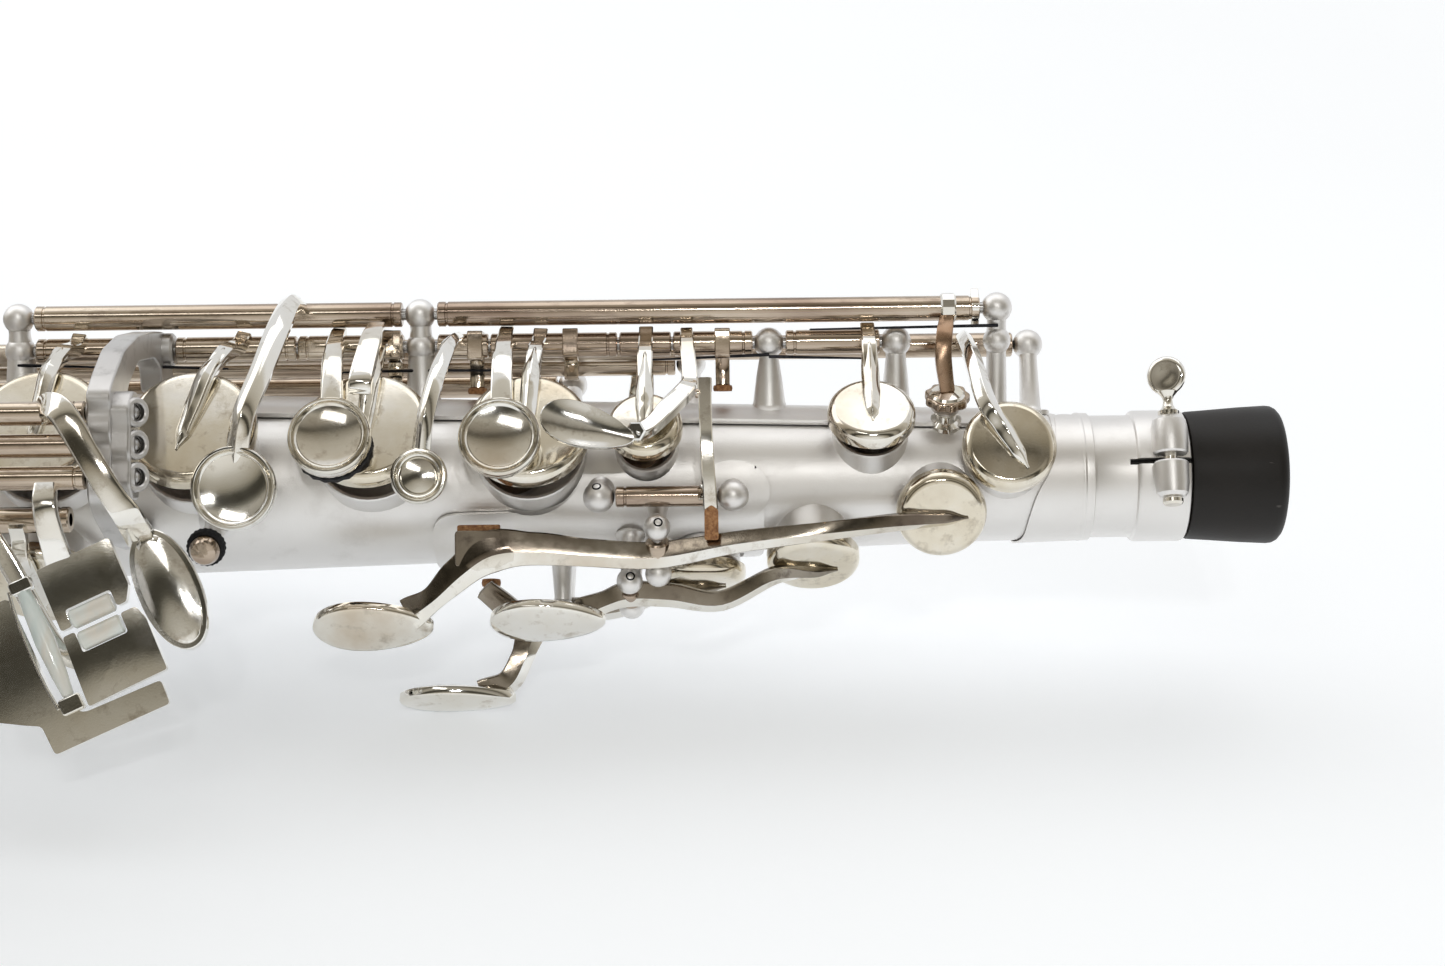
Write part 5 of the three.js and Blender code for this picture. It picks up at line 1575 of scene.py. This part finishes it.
def touch_arm_and_button(key, line, s, centre, a, radius, opened, dished_pearl=False):
    stand(key, line, opened)
    middle = at(*centre)
    start = on_line(line, s)
    end = middle + outward(a) * 1
    knee = start.lerp(end, 0.5) + outward(a + 25) * 6
    crest = start + at(0, 3.0, 1.6)
    path = [
        start + at(0, 0.4, 3.0), crest, crest.lerp(knee, 0.55) + outward(a + 40) * 0.9, knee,
        end.lerp(knee, 0.3), end,
    ]
    arm_to_touch(
        key, path, outward(a), [3.0, 3.1, 3.6, 4.2, 4.6, 4.6], [2.4, 2.6, 2.8, 2.6, 2.4, 2], "flat",
    )
    if not dished_pearl:
        button(key, middle, a, radius)
        return
    r = radius
    cupped = [
        (0, 0.2), (r * 0.7, 0.1), (r * 0.9, 0.8), (r, 2.2), (r, 4.4), (r - 0.2, 4.9), (r - 0.8, 4.95),
        (r - 1.1, 4.4), (0, 4.2),
    ]
    lathe(key + "_touch", cupped, middle, outward(a), "polished", 64, sharp=34)
    pearl = [(0, 4.3), (r - 1.2, 4.3), (r - 1.25, 4.75), (r * 0.6, 4.6), (0, 4.45)]
    lathe(key + "_pearl", pearl, middle, outward(a), "pearl", 64, sharp=50)


def front_f():
    stand("front_f_key")
    hinge("front_f_key", LINE_B, 89.9, 106.4)
    path = [
        at(103.6, 7, 30.6), at(103.4, 13, 27), at(102.8, 18, 20.4), at(103.6, 21.6, 18.4),
        at(107.2, 26, 14.6), at(110.6, 29.4, 11), at(113.8, 31.6, 9.4),
    ]
    arm_to_touch(
        "front_f_key", path, outward(40), [2.6, 3.0, 3.2, 3.6, 3.8, 3.2, 2.8],
        [3.0, 2.8, 2.8, 2.6, 2.6, 2.6, 2.4], "flat",
    )
    outline = [(9.6 * x, 4.3 * y * (1 - 0.30 * x) + 0.8 * (1 - x) * 0.5 - 0.4) for x, y in circle(48)]
    u = Vector((0.97, 0, -0.24)).normalized()
    v = (around(14) - u * around(14).dot(u)).normalized()
    dish = dome_mesh(outline, at(122.9, 34.6, 10.9), u, v, 0.7, -0.9, 1.1, rows=9, edge=0.5)
    piece("front_f_spoon", *dish, "polished", 40)
    block = rod_mesh(at(113.2, 29.2, 9.6), at(113.6, 32.6, 10.0), 2.1, 6, 0.4)
    piece("front_f_block", *block, "polished", 30)

    stand("front_f_link")
    hinge("front_f_link", LINE_FRONT, 97.8, 118, 2.1)
    path = [
        at(98.9, 26.2, -5.6), at(99.2, 26.8, 0), at(99.6, 26.2, 8), at(99.8, 24.6, 15),
        at(99.9, 23, 20.4),
    ]
    arm_to_touch(
        "front_f_link", path, outward(0), [3.0, 2.8, 2.6, 2.7, 3.0], [2.2, 2.4, 2.4, 2.4, 2.6], "flat",
    )
    neck = [at(100.4, 23.6, -3), at(99.8, 25.4, -2.4), at(99.2, 26.4, -1.6)]
    sweep("front_f_link_neck", neck, 3.2, 2.6, UP, "polished", "flat", 5)
    plate(
        "front_f_link_cork",
        rounded([(-1.4, -3.4), (1.4, -3.4), (1.4, 2.6), (0, 3.6), (-1.4, 2.6)], 0.4, 3),
        at(98.8, 26.6, -8.4), ALONG, UP, 2.0, "cork", bevel=0.25,
    )
    screw_face(at(101.3, 24.2, 17.6), DOWN_TUBE, 1.0, "front_f_link_screw", "rod")


def high_e():
    """The high E key: a long tube with its cup at one end and its touch at the other."""
    stand("high_e_key")
    hinge("high_e_key", LINE_HIGH_E, 34.4, 330.4)
    cup("high_e_key", "high_e")
    end, normal = cup_top("high_e"), HOLES["high_e"].normal
    run = (at(-0.5, 0, 0) - around(20) * 0.866).normalized()
    path = [
        at(44.8, -7.1, 28.4), at(45.2, -1.6, 29.8), at(45.4, 5.4, 28.6), at(44.6, 12.4, 24.4),
        end - run * 9.4 + normal * 2.0,
    ]
    path += [
        end - run * 3 + normal * 1.4, end + run * 2.4 + normal * 0.8, end + run * 6.6 + normal * 0.05,
    ]
    widths = [3.2, 3.4, 3.4, 3.6, 4.0, 3.8, 2.9, 0.5]
    sweep(
        "high_e_key_arm", path, widths, [3, 3, 3, 3, 2.9, 2.6, 1.8, 0.4],
        lambda t: (outward(80) * (1 - t) + normal * t).normalized(), "polished", "ridge", 7, 24,
        (0.6, 0),
    )
    side_touch(
        "high_e_key", LINE_HIGH_E, 326, at(326, LINE_HIGH_E[0] - 9, LINE_HIGH_E[1] + 5), 118, 13, 6,
    )


def side_touch(key, line, s, tip, a, long, wide):
    """A side key's oval touch and stem."""
    normal = ALONG.cross(around(a)).normalized()
    if normal.dot(outward(a)) < 0:
        normal = -normal
    v = normal.cross(ALONG).normalized()
    dish = dome_mesh(oval(long, wide, 48, 2.3), tip, ALONG, v, 1.2, 0.5, 1.2, rows=6, edge=0.5)
    piece(key + "_touch", *dish, "polished", 40)
    sweep(
        key + "_stem", [on_line(line, s), on_line(line, s).lerp(tip, 0.5) + outward(a) * 1.0, tip],
        [3.6, 3.4, 5], [3, 2.6, 1.8], outward(a), "polished", "soft", 6,
    )


def side_keys():
    for key, line, start, cup_s, name, touch_s in (
        ("side_c_key", LINE_SIDE_C, 106.4, 114, "side_c", 300),
        ("side_bb_key", LINE_SIDE_BB, 132.4, 140, "side_bb", 322),
    ):
        stand(key)
        hinge(key, line, start, 330.4)
        cup(key, name)
        spear(key, line, cup_s, name, 2)
        a, r = around_line(line)
        tip = polar(touch_s, a, r + 7) + around(a) * 3
        side_touch(key, line, touch_s, tip, a, 11, 5)


def octave():
    """The body octave key, and the thumb lever that moves it."""
    stand("octave_key")
    hinge("octave_key", LINE_A, 42.7, 155.3)
    centre, normal, _, _ = HOLES["octave"]
    lobes = [4.5 + 0.22 * math.cos(9 * (2 * math.pi * i / 90)) for i in range(90)]
    cap = [(r * c, r * s) for r, (c, s) in zip(lobes, circle(90))]
    u, v, w = basis(normal)
    plate("octave_cap_knurl", cap, centre + w * 2.9, u, v, 1.9, "rod", bevel=0.4, sharp=50)
    disc = [(0, 0.3), (2.9, 0.3), (3.3, 0.6), (2.6, 1.2), (2.0, 1.6), (2.0, 2.0), (0, 2.0)]
    lathe("octave_cap_disc", disc, centre, normal, "satin", 48)
    lathe(
        "octave_cap_top", [(0, 3.8), (3.7, 3.8), (3.2, 4.3), (1.6, 4.5), (0, 4.7)], centre, normal,
        "polished", 40,
    )
    clip = rod_mesh(at(47.6, 6.2, 35.4), at(50.8, 6.2, 35.4), 3.15, 12, 0.4)
    piece("octave_key_clip", *clip, "polished", 24)
    arm = [at(49.4, 7.2, 33.6), at(50.4, 11.4, 29.6), at(50.8, 12.6, 24.6), cup_top("octave", -0.4)]
    sweep(
        "octave_key_arm", arm, [3.0, 3.4, 3.4, 3.0], [2.0, 1.8, 1.6, 1.4], outward(40), "copper",
        "flat", 7,
    )
    foot = [at(150, 6.2, 35.4), at(150, 0, 37), at(150, -6, 36)]
    sweep("octave_key_foot", foot, [3, 3, 3.4], [2.4, 2.4, 2], outward(90), "polished", "flat", 6)
    diamond = rounded([(0, 4.4), (3.0, 0), (0, -4.4), (-3.0, 0)], 0.8, 3)
    plate("octave_key_boss", diamond, at(43.6, 6.2, 35.4), FRONT, UP, 1.6, "polished", bevel=0.3)

    stand("octave_lever")
    hinge("octave_lever", LINE_OCTAVE, 165.4, 192.6)
    across = Vector((0, 1, 0.1)).normalized()
    v = across.cross(ALONG).normalized()
    normal = ALONG.cross(v)
    if normal.y < 0:
        normal, v = -normal, -v
    centre = at(178, -27.4, -10)
    dish = dome_mesh(
        oval(13, 7.5, 56, 2.4), centre, ALONG, normal.cross(ALONG), 1.2, 0.5, 1.2, rows=7, edge=0.5,
    )
    piece("octave_lever_touch", *dish, "polished", 40)
    path = [on_line(LINE_OCTAVE, 178), at(178, -29, 0), centre]
    sweep("octave_lever_arm", path, [4, 4.4, 6], 2.4, outward(180), "polished", "soft", 6)


def palm(name, start, path, widths, heights, touch, normal, half, up):
    """A palm key: cup, lever and spoon on a short pin across the tube."""
    key = name + "_key"
    s, a = PALM_PINS[key]
    stand(key)
    pivot = on_tube(s, a, PALM_PIN_HEIGHT)
    barrel = rod_mesh(pivot - around(a) * 2.5, pivot + around(a) * 2.5, 2.4, 36, 0.35)
    piece(key + "_barrel", *barrel, "rod", replaces=key)
    pin = rod_mesh(pivot - around(a) * 2.9, pivot + around(a) * 2.9, 1.1, 20)
    piece(key + "_pin", *pin, "steel")
    cup(key, name)
    top, face = cup_top(name), HOLES[name].normal
    back, (ds, dp, dq), rise = start
    points = [top + at(back, 0, 0) + face * 0.15, top + face * 0.75, top + at(ds, dp, dq) + face * rise]
    points += [at(*p) for p in path]

    def lean(t):
        k = min(1.0, max(0.0, (t - 0.12) / 0.2))
        return (face * (1 - k) + up * k).normalized()

    lever = sweep(key + "_lever", points, widths, heights, lean, "polished", "crest", 7, 25, (0, 0.4))
    # the back facets get the darker lever material: painted shade, with some tarnish
    lever.data.materials.append(MAT["lever_back"])
    facets = len(SECTIONS["crest"])
    for face_index in range(len(lever.data.polygons) - 2):
        if face_index % facets in CREST_SHADED_FACETS:
            lever.data.polygons[face_index].material_index = 1
    across = normal.cross(ALONG).normalized()
    forward = across.cross(normal).normalized()
    outline = [(half[0] * x, half[1] * y * (1 - 0.2 * x)) for x, y in circle(56)]
    spoon = dome_mesh(outline, touch, forward, across, 0.8, 0.7, 1.6, rows=9, edge=0.9)
    piece(key + "_spoon", *spoon, "polished", 50)


def palm_keys():
    palm(
        "palm_f", (-5.2, (9, 0, -0.4), 1.0),
        [
            (76, 23.2, -10.4), (94, 23.4, -12.4), (
                109.7, 22.8, -14.8,
            ), (123, 23.6, -14.2), (134, 24.6, -13.2),
            (143, 25.4, -13.6), (149.6, 25, -18), (155, 24, -23), (160, 22.6, -26.2),
        ],
        [0.5, 2.8, 3.6, 3.8, 4.4, 5.4, 5.6, 6.6, 8.6, 6.6, 5.0, 6.8],
        [0.4, 2.2, 2.6, 2.8, 2.8, 2.8, 2.8, 2.8, 2.6, 2.4, 2.2, 1.8],
        at(167.4, 21.2, -28.8), outward(-44), (12.2, 6.4), outward(8),
    )
    tab = rounded([(-4.6, -4), (4.6, -3), (4.6, 3.2), (-4.6, 3.2)], 0.8, 3)
    # the tab in the darker lever material: painted shade, with some tarnish
    plate("palm_f_tab", tab, at(145.6, 24.9, -12.6), ALONG, UP, 2.4, "lever_back", bevel=0.4)
    strip = box(-4.2, -0.8, 4.2, 0.8, 0.3, 2)
    plate("palm_f_cork", strip, at(145.6, 23.4, -9.1), ALONG, UP, 3.4, "cork", bevel=0.25)
    palm(
        "palm_eb", (-5, (8, 0.6, -0.4), 0.9),
        [
            (97, 15.6, -24.6), (107, 15.4, -23.4), (115.6, 14.6, -23.0), (120.6, 15.6, -24.4),
            (126, 17, -26.6),
        ],
        [0.5, 2.6, 3.8, 4.2, 5.0, 5.4, 4.6, 6.0],
        [0.4, 2.0, 2.4, 2.4, 2.4, 2.6, 2.2, 1.6],
        at(132.4, 17.4, -28.2), outward(-50), (11.8, 6), outward(-10),
    )
    palm(
        "palm_d", (-5, (7, 0, 0), 0.9),
        [
            (119, 2.2, -26.4), (130, 1.2, -27.4), (
                136.4, 2.2, -30.8,
            ), (138.8, 3.8, -36.4), (141.6, 4.8, -41.4),
            (147, 5.6, -44.0),
        ],
        [0.5, 2.6, 3.8, 4.6, 6.0, 6.2, 5.0, 5.2, 6.4],
        [0.4, 2.0, 2.4, 2.6, 2.6, 2.6, 2.4, 2.2, 1.6],
        at(152.2, 5.6, -45), outward(-68), (12.2, 6.2), outward(-12),
    )
    tail = [at(137.4, 2.2, -30.8), at(141.6, 2.4, -26.4), at(146.6, 3.2, -22)]
    # the tail in the darker lever material: painted shade, with some tarnish
    sweep("palm_d_tail", tail, [5.2, 5.2, 4.6], 2.2, outward(-8), "lever_back", "flat", 6)
    corks("palm_d_cork", at(145.4, 1.0, -21.6), outward(-80) * -1, 1.9, 1.4)


def bell_keys():
    """The bell keys, G sharp cup, low E flat and low C."""
    for key, line, name, a, b, arm_s, opened in (
        ("low_bb_key", LINE_BELL, "low_bb", 306.6, 388.4, 378, 9),
        ("low_b_key", LINE_BELL, "low_b", 395.6, 438.4, 432, 9),
        ("low_c_sharp_key", LINE_C_SHARP, "low_c_sharp", 391.6, 430.4, 408, 0),
    ):
        stand(key, line, opened)
        hinge(key, line, a, b)
        cup(key, name, "polished")
        spear(key, line, arm_s, name, 3, 4.6, 0.3)
    stand("g_sharp_key")
    hinge("g_sharp_key", LINE_GS, 226, 246)
    cup("g_sharp_key", "g_sharp")
    spear("g_sharp_key", LINE_GS, 236, "g_sharp")
    stand("low_eb_key")
    hinge("low_eb_key", LINE_D, 401.6, 427.4)
    cup("low_eb_key", "low_eb", "polished")
    spear("low_eb_key", LINE_D, 419, "low_eb", 3)
    pinky_touch("low_eb_key", 422, 408)
    stand("low_c_key", LINE_D, 9)
    hinge("low_c_key", LINE_D, 435.4, 470.4)
    cup("low_c_key", "low_c", "polished")
    end, normal = cup_top("low_c"), HOLES["low_c"].normal
    path = [
        on_line(LINE_D, 464), at(471, 7.4, 39.6), at(490, 13, 38.6),
        end.lerp(at(490, 13, 38.6), 0.3) + normal * 0.6, end + normal * 0.4,
        end + (end - at(490, 13, 38.6)).normalized() * 4,
    ]
    sweep(
        "low_c_key_arm", path, [4.4, 4.4, 4.4, 4.6, 3.2, 0.5], [3.6, 3.6, 3.4, 3, 2.2, 0.4],
        outward(80), "polished", "ridge", 7, 30, (0.6, 0),
    )
    pinky_touch("low_c_key", 440, 440)


def pinky_touch(key, s, start):
    """A right little finger's touch with its roller."""
    u, v = Vector((-1, 0, 0)), around(40)
    outline = box(s - 6, -7, s + 6, 7, 3.2, 5)
    centre = at(0, 31, 30)
    plate(key + "_touch", outline, centre, u, v, 2.2, "polished", bevel=0.8)
    stem = [on_line(LINE_D, start), at(start, 14, 42), at(s, 30, 31)]
    sweep(key + "_stem", stem, [3.4, 3.6, 5], [2.8, 2.6, 1.8], outward(70), "polished", "soft", 7)
    roller = rod_mesh(
        at(s - 4.6, 31, 30) + around(40) * -7.9, at(s + 4.6, 31, 30) + around(40) * -7.9, 1.5, 28, 0.5,
    )
    piece(key + "_roller", *roller, "pearl")


# ---------------------------------------------------------------- the left hand's pinky table
TABLE_TILT = 8.0
TABLE_TURN = 24.5
TABLE_MIDDLE = at(216, 49.1, -27)
TABLE_N = outward(TABLE_TILT)
TABLE_U = ALONG * math.cos(
    math.radians(TABLE_TURN)
) + around(TABLE_TILT) * math.sin(math.radians(TABLE_TURN))
TABLE_V = TABLE_N.cross(TABLE_U)


def table(x, y, lift=0.0):
    """A point of the little-finger table."""
    return TABLE_MIDDLE + TABLE_U * x + TABLE_V * y + TABLE_N * lift


def pinky_table():
    """The left little finger's four touches and three pearl rollers."""
    stand("g_sharp_touch")
    hinge("g_sharp_touch", LINE_P1, 218.4, 240, 2.3)
    path = [
        on_line(LINE_P1, 226), at(224, 51, 15.6), at(220.4, 54.4, 14), at(215, 56, 5.4),
        at(210.8, 55.8, -1.6), at(208.4, 54.2, -5.6), table(14.8, 12, 0.7),
    ]
    sweep(
        "g_sharp_lever", path, [4.4, 5.0, 5.2, 4.8, 4.8, 5.2, 5.6], [2.8, 2.8, 2.8, 2.6, 2.6, 2.4, 2],
        outward(10), "polished", "flat", 7,
    )
    centre = table(15.9, 0.9, 1.8)
    ring = dome_mesh(
        oval(5.9, 12.3, 64, 2.1), centre, TABLE_U, TABLE_V, 0.8, -0.5, 1.6, rows=3, edge=0.35,
    )
    piece("g_sharp_touch_rim", *ring, "polished", 40)
    face = dome_mesh(
        oval(4.9, 11.2, 64, 2.1), centre + TABLE_N * 0.4, TABLE_U, TABLE_V, 0.7, 0.75, 0.3, rows=9,
        edge=0.3,
    )
    piece("g_sharp_touch_face", *face, "polished", 40)

    for name, line, start, end, outline, corner, reach, path, wide, thick in (
        (
            "low_c_sharp", LINE_P3, 218.4, 239.7,
            [
                (
                    -5.9, 15.2,
                ), (9.1, 15.2), (9.1, 5.3), (7.4, 2.4), (5.5, 2.4), (5.5, 5.8), (-3.8, 5.8), (-3.8, 2.4),
                (-6.1, 2.4),
            ],
            0.6, 9.5,
            [on_line(LINE_P3, 226), at(225.6, 49, -3), at(224.8, 48.8, -8), table(-1.4, 14.2, -0.3)],
            [4, 4.4, 4.6, 5.2], [2.8, 2.6, 2.2, 1.6],
        ),
        (
            "low_b", LINE_P2, 218.4, 261.4,
            [
                (-6.3, 1.3), (-3.8, 1.3), (-3.8, -3.1), (5.5, -3.1), (5.5, 0.9), (8.6, 0.9), (9.6, -2),
                (9.4, -12.6), (-6.9, -12.9),
            ],
            0.6, 9.5,
            [
                on_line(LINE_P2, 245), at(244, 41, 5.2), at(
                    242, 40.4, -3,
                ), at(235, 40, -15), table(-9.6, 1, -7.8),
                table(-3, -5, -4), table(0.5, -7, -1.4),
            ],
            [3.4, 3.6, 3.6, 3.6, 3.6, 4, 5], [2.6, 2.6, 2.6, 2.6, 2.4, 2.4, 2],
        ),
        (
            "low_bb", LINE_P3, 240.2, 261.4,
            [
                (-25, 12.6), (-13, 12.6), (-12.4, -10.4), (-7.8, -13.6), (7.4, -14.0), (7.2, -18.8),
                (-16.2, -18.6), (-16.4, -12.6), (-19, -11.2), (-25, -7.6),
            ],
            0.8, 16,
            [on_line(LINE_P3, 252), at(251, 48.6, -6), at(247, 48.4, -14), table(-20, 8, 0.4)],
            [3.8, 3.8, 4, 5], [2.6, 2.6, 2.4, 1.8],
        ),
    ):
        stand(name + "_touch")
        hinge(name + "_touch", line, start, end, 2.3)
        verts, faces = crowned_mesh(
            rounded(outline, corner, 3), TABLE_MIDDLE, TABLE_U, TABLE_V, 2.4, 0.5, reach,
        )
        soften(piece(name + "_plate", verts, faces, "polished", 30), 1.0, 3, 50)
        sweep(name + "_stem", path, wide, thick, TABLE_N, "polished", "soft", 6)
    for name, y, half in (("top", 13.6, 1.3), ("bottom", -11.2, 1.6)):
        block = plate_mesh(
            box(-11.8, y - half, -7.4, y + half, 0.5, 2), TABLE_MIDDLE + TABLE_N * 0.6, TABLE_U,
            TABLE_V, 2.4,
        )
        piece(f"low_bb_roller_bearing_{name}", *block, "polished", bevel=0.3)
    frame = sweep_mesh(
        [table(-12.2, 13.4, 0.9), table(-12.9, 6, 0.9), table(-12.9, -4, 0.9), table(-12.2, -11, 0.9)],
        0.7, 0.9, TABLE_N, "round", 5,
    )
    piece("low_bb_roller_frame", *frame, "polished")

    for key, y in (("low_c_sharp_roller", 3.6), ("low_b_roller", -0.9)):
        stand(key)
        roll = rod_mesh(table(-3.5, y, 0.3), table(5.1, y, 0.3), 1.9, 32, 0.35)
        piece(key + "_pearl", *roll, "pearl", replaces=key)
    stand("low_bb_roller")
    length = 22.6
    profile = [
        (0, 0), (0.9, 0), (1.15, 0.3), (1.55, length * 0.2), (1.95, length * 0.5), (1.7, length * 0.78),
        (1.25, length - 0.3), (0.9, length), (0, length),
    ]
    lathe(
        "low_bb_roller_pearl", profile, table(-9.6, -9.4, 0.5), TABLE_V, "pearl", 40, sharp=50,
        replaces="low_bb_roller",
    )
    stand("body")


def bumper():
    """The felted stop that the G sharp touch comes down on."""
    stand("body")
    a, _ = around_line((36, -14.3))
    foot = on_tube(199, a, 0.3)
    way = outward(a)
    stem = [(0, 0), (4.2, 0), (4.2, 0.6), (2.8, 1.4), (2.2, 4), (2.1, 12), (2.6, 13.4), (0, 13.4)]
    lathe("table_bumper_stem", stem, foot, way, "satin", 36)
    u, v, _ = basis(way)
    plate("table_bumper_felt", toothed(3.7, 0.2, 44), foot + way * 14.2, u, v, 1.6, "felt", bevel=0.1)
    cap = [(0, 15), (3.0, 15), (3.0, 16.4), (2.4, 17.4), (1.2, 17.9), (0, 18)]
    lathe("table_bumper_cap", cap, foot, way, "rod", 36)


def springs():
    """Needle springs lying beside the hinge tubes."""
    stand("body")
    for i, (s0, s1, line, dp, dq, turn) in enumerate(
        (
            (86.5, 66.5, LINE_B, 2.4, -3.6, 0.6),
            (86.5, 112, LINE_B, 2.2, -3.4, 0.8),
            (159, 140, LINE_B, 1.4, -5.2, 0.2),
            (159, 176, LINE_B, 1.4, -5.2, 0.2),
            (214, 199, LINE_B, 2.2, -4.2, 0.6),
            (242.6, 224, LINE_B, 2.2, -3.6, 0.6),
            (39, 78, LINE_A, 1.8, -4.2, 0.4),
        )
    ):
        a = at(s0, line[0] + dp, line[1] + dq + turn)
        b = at(s1, line[0] + dp * 0.8, line[1] + dq)
        piece(
            f"needle_spring_{i + 1}",
            *sweep_mesh([a, (a + b) / 2, b], [0.7, 0.55, 0.4], [0.7, 0.55, 0.4], UP, "round", 4),
            "spring",
        )


# ---------------------------------------------------------------- scene
body_tube()
bow()
bell()
collar("body_bow_collar", at(BODY_END, 0, 0), DOWN_TUBE, tube_radius(BODY_END), 0.8)
collar("bell_bow_collar", BELL_START, BELL_DIRECTION, BELL_START_RADIUS, 1.2)
socket_and_plug()
upper_rib()
lower_rib()
side_rib()
palm_plate()
arch_bracket()
pinky_post()
bell_rail("bell_key_rail", LINE_BELL, [303, 392, 442], 118)
bell_rail("c_sharp_posts", LINE_C_SHARP, [388, 434], -98)
bow_post()
bell_brace()
bell_guard()
thumb_side()
steel_rods()
stack_keys()
key_feet()
front_f()
high_e()
side_keys()
octave()
palm_keys()
bell_keys()
pinky_table()
bumper()
springs()


def floor():
    mesh = bpy.data.meshes.new("table_top")
    half = 6.0
    mesh.from_pydata(
        [(-half, -half, 0), (half, -half, 0), (half, half, 0), (-half, half, 0)], [], [(0, 1, 2, 3)],
    )
    mesh.materials.append(MAT["floor"])
    obj = bpy.data.objects.new("table_top", mesh)
    bpy.context.scene.collection.objects.link(obj)


def area(name, position, target, size, watts):
    data = bpy.data.lights.new(name, "AREA")
    data.shape = "RECTANGLE"
    data.size, data.size_y = size
    data.energy = watts
    obj = bpy.data.objects.new(name, data)
    obj.location = position
    obj.rotation_euler = (Vector(target) - Vector(position)).to_track_quat("-Z", "Y").to_euler()
    bpy.context.scene.collection.objects.link(obj)


def studio():
    """A pale room that the metal reflects, a plain backdrop, and five soft lights."""
    world = bpy.data.worlds.new("studio")
    bpy.context.scene.world = world
    world.use_nodes = True
    nodes, links = world.node_tree.nodes, world.node_tree.links
    back = nodes["Background"]
    coords = nodes.new("ShaderNodeTexCoord")
    split = nodes.new("ShaderNodeSeparateXYZ")
    links.new(coords.outputs["Generated"], split.inputs[0])
    flip = nodes.new("ShaderNodeMapRange")
    flip.inputs["From Min"].default_value = 1
    flip.inputs["From Max"].default_value = -1
    links.new(split.outputs["Y"], flip.inputs["Value"])
    ramp = nodes.new("ShaderNodeValToRGB")
    stops = [
        (0.0, (1.0, 1.01, 1.03)), (0.47, (1.0, 1.0, 1.0)), (
            0.49, (0.74, 0.70, 0.62),
        ), (0.62, (0.56, 0.52, 0.44)),
        (0.67, (0.34, 0.31, 0.25)), (0.70, (0.10, 0.09, 0.07)), (0.735, (0.34, 0.31, 0.26)),
        (0.80, (0.50, 0.47, 0.40)), (0.825, (0.16, 0.15, 0.12)), (0.845, (0.06, 0.055, 0.043)),
        (0.875, (0.07, 0.065, 0.05)), (0.90, (0.40, 0.37, 0.30)), (0.93, (0.60, 0.57, 0.50)),
        (0.965, (0.95, 0.93, 0.88)), (1.0, (1.12, 1.11, 1.08)),
    ]
    set_stops(ramp.color_ramp, stops)
    links.new(flip.outputs["Result"], ramp.inputs["Fac"])
    links.new(ramp.outputs["Color"], back.inputs["Color"])
    back.inputs["Strength"].default_value = 0.8
    plain = nodes.new("ShaderNodeBackground")
    plain.inputs["Color"].default_value = (0.93, 0.94, 0.95, 1)
    plain.inputs["Strength"].default_value = 0.85
    path = nodes.new("ShaderNodeLightPath")
    choose = nodes.new("ShaderNodeMixShader")
    links.new(path.outputs["Is Camera Ray"], choose.inputs["Fac"])
    links.new(back.outputs[0], choose.inputs[1])
    links.new(plain.outputs[0], choose.inputs[2])
    links.new(choose.outputs[0], nodes["World Output"].inputs["Surface"])
    area("window_left", (-1.3, 0.7, 1.3), (0, 0, 0.05), (1.6, 1.2), 6)
    area("ceiling_soft", (0.2, 0.9, 1.9), (0, 0, 0.05), (2.2, 1.4), 7.5)
    area("front_panel", (-0.35, -0.95, 1.5), (0.0, 0, 0.05), (0.55, 0.22), 1.0)
    area("flash_left", (0.15, -1.25, 1.25), (0.1, 0, 0.08), (0.07, 0.07), 1.8)
    area("flash_right", (0.33, -1.2, 1.3), (0.1, 0, 0.08), (0.07, 0.07), 1.4)


IMAGE_WIDTH = 1445
FOCAL_PIXELS = 2400
CAMERA_AT = at(96.5, 506, -0.46)
CAMERA_ROLL = 0.68


def camera():
    """The photo's viewpoint, straight in front of the tube's upper part."""
    data = bpy.data.cameras.new("camera")
    data.sensor_width = 36
    data.lens = 36 * FOCAL_PIXELS / IMAGE_WIDTH
    data.clip_start = 0.01
    obj = bpy.data.objects.new("camera", data)
    turn = math.radians(CAMERA_ROLL)
    right = ALONG * math.cos(turn) - UP * math.sin(turn)
    up = UP * math.cos(turn) + ALONG * math.sin(turn)
    facing = Matrix((right, up, FRONT)).transposed().to_4x4()
    obj.matrix_world = Matrix.Translation(place(CAMERA_AT)) @ LIE @ facing
    bpy.context.scene.collection.objects.link(obj)
    bpy.context.scene.camera = obj


floor()
studio()
camera()
bpy.context.scene.view_settings.view_transform = "Standard"
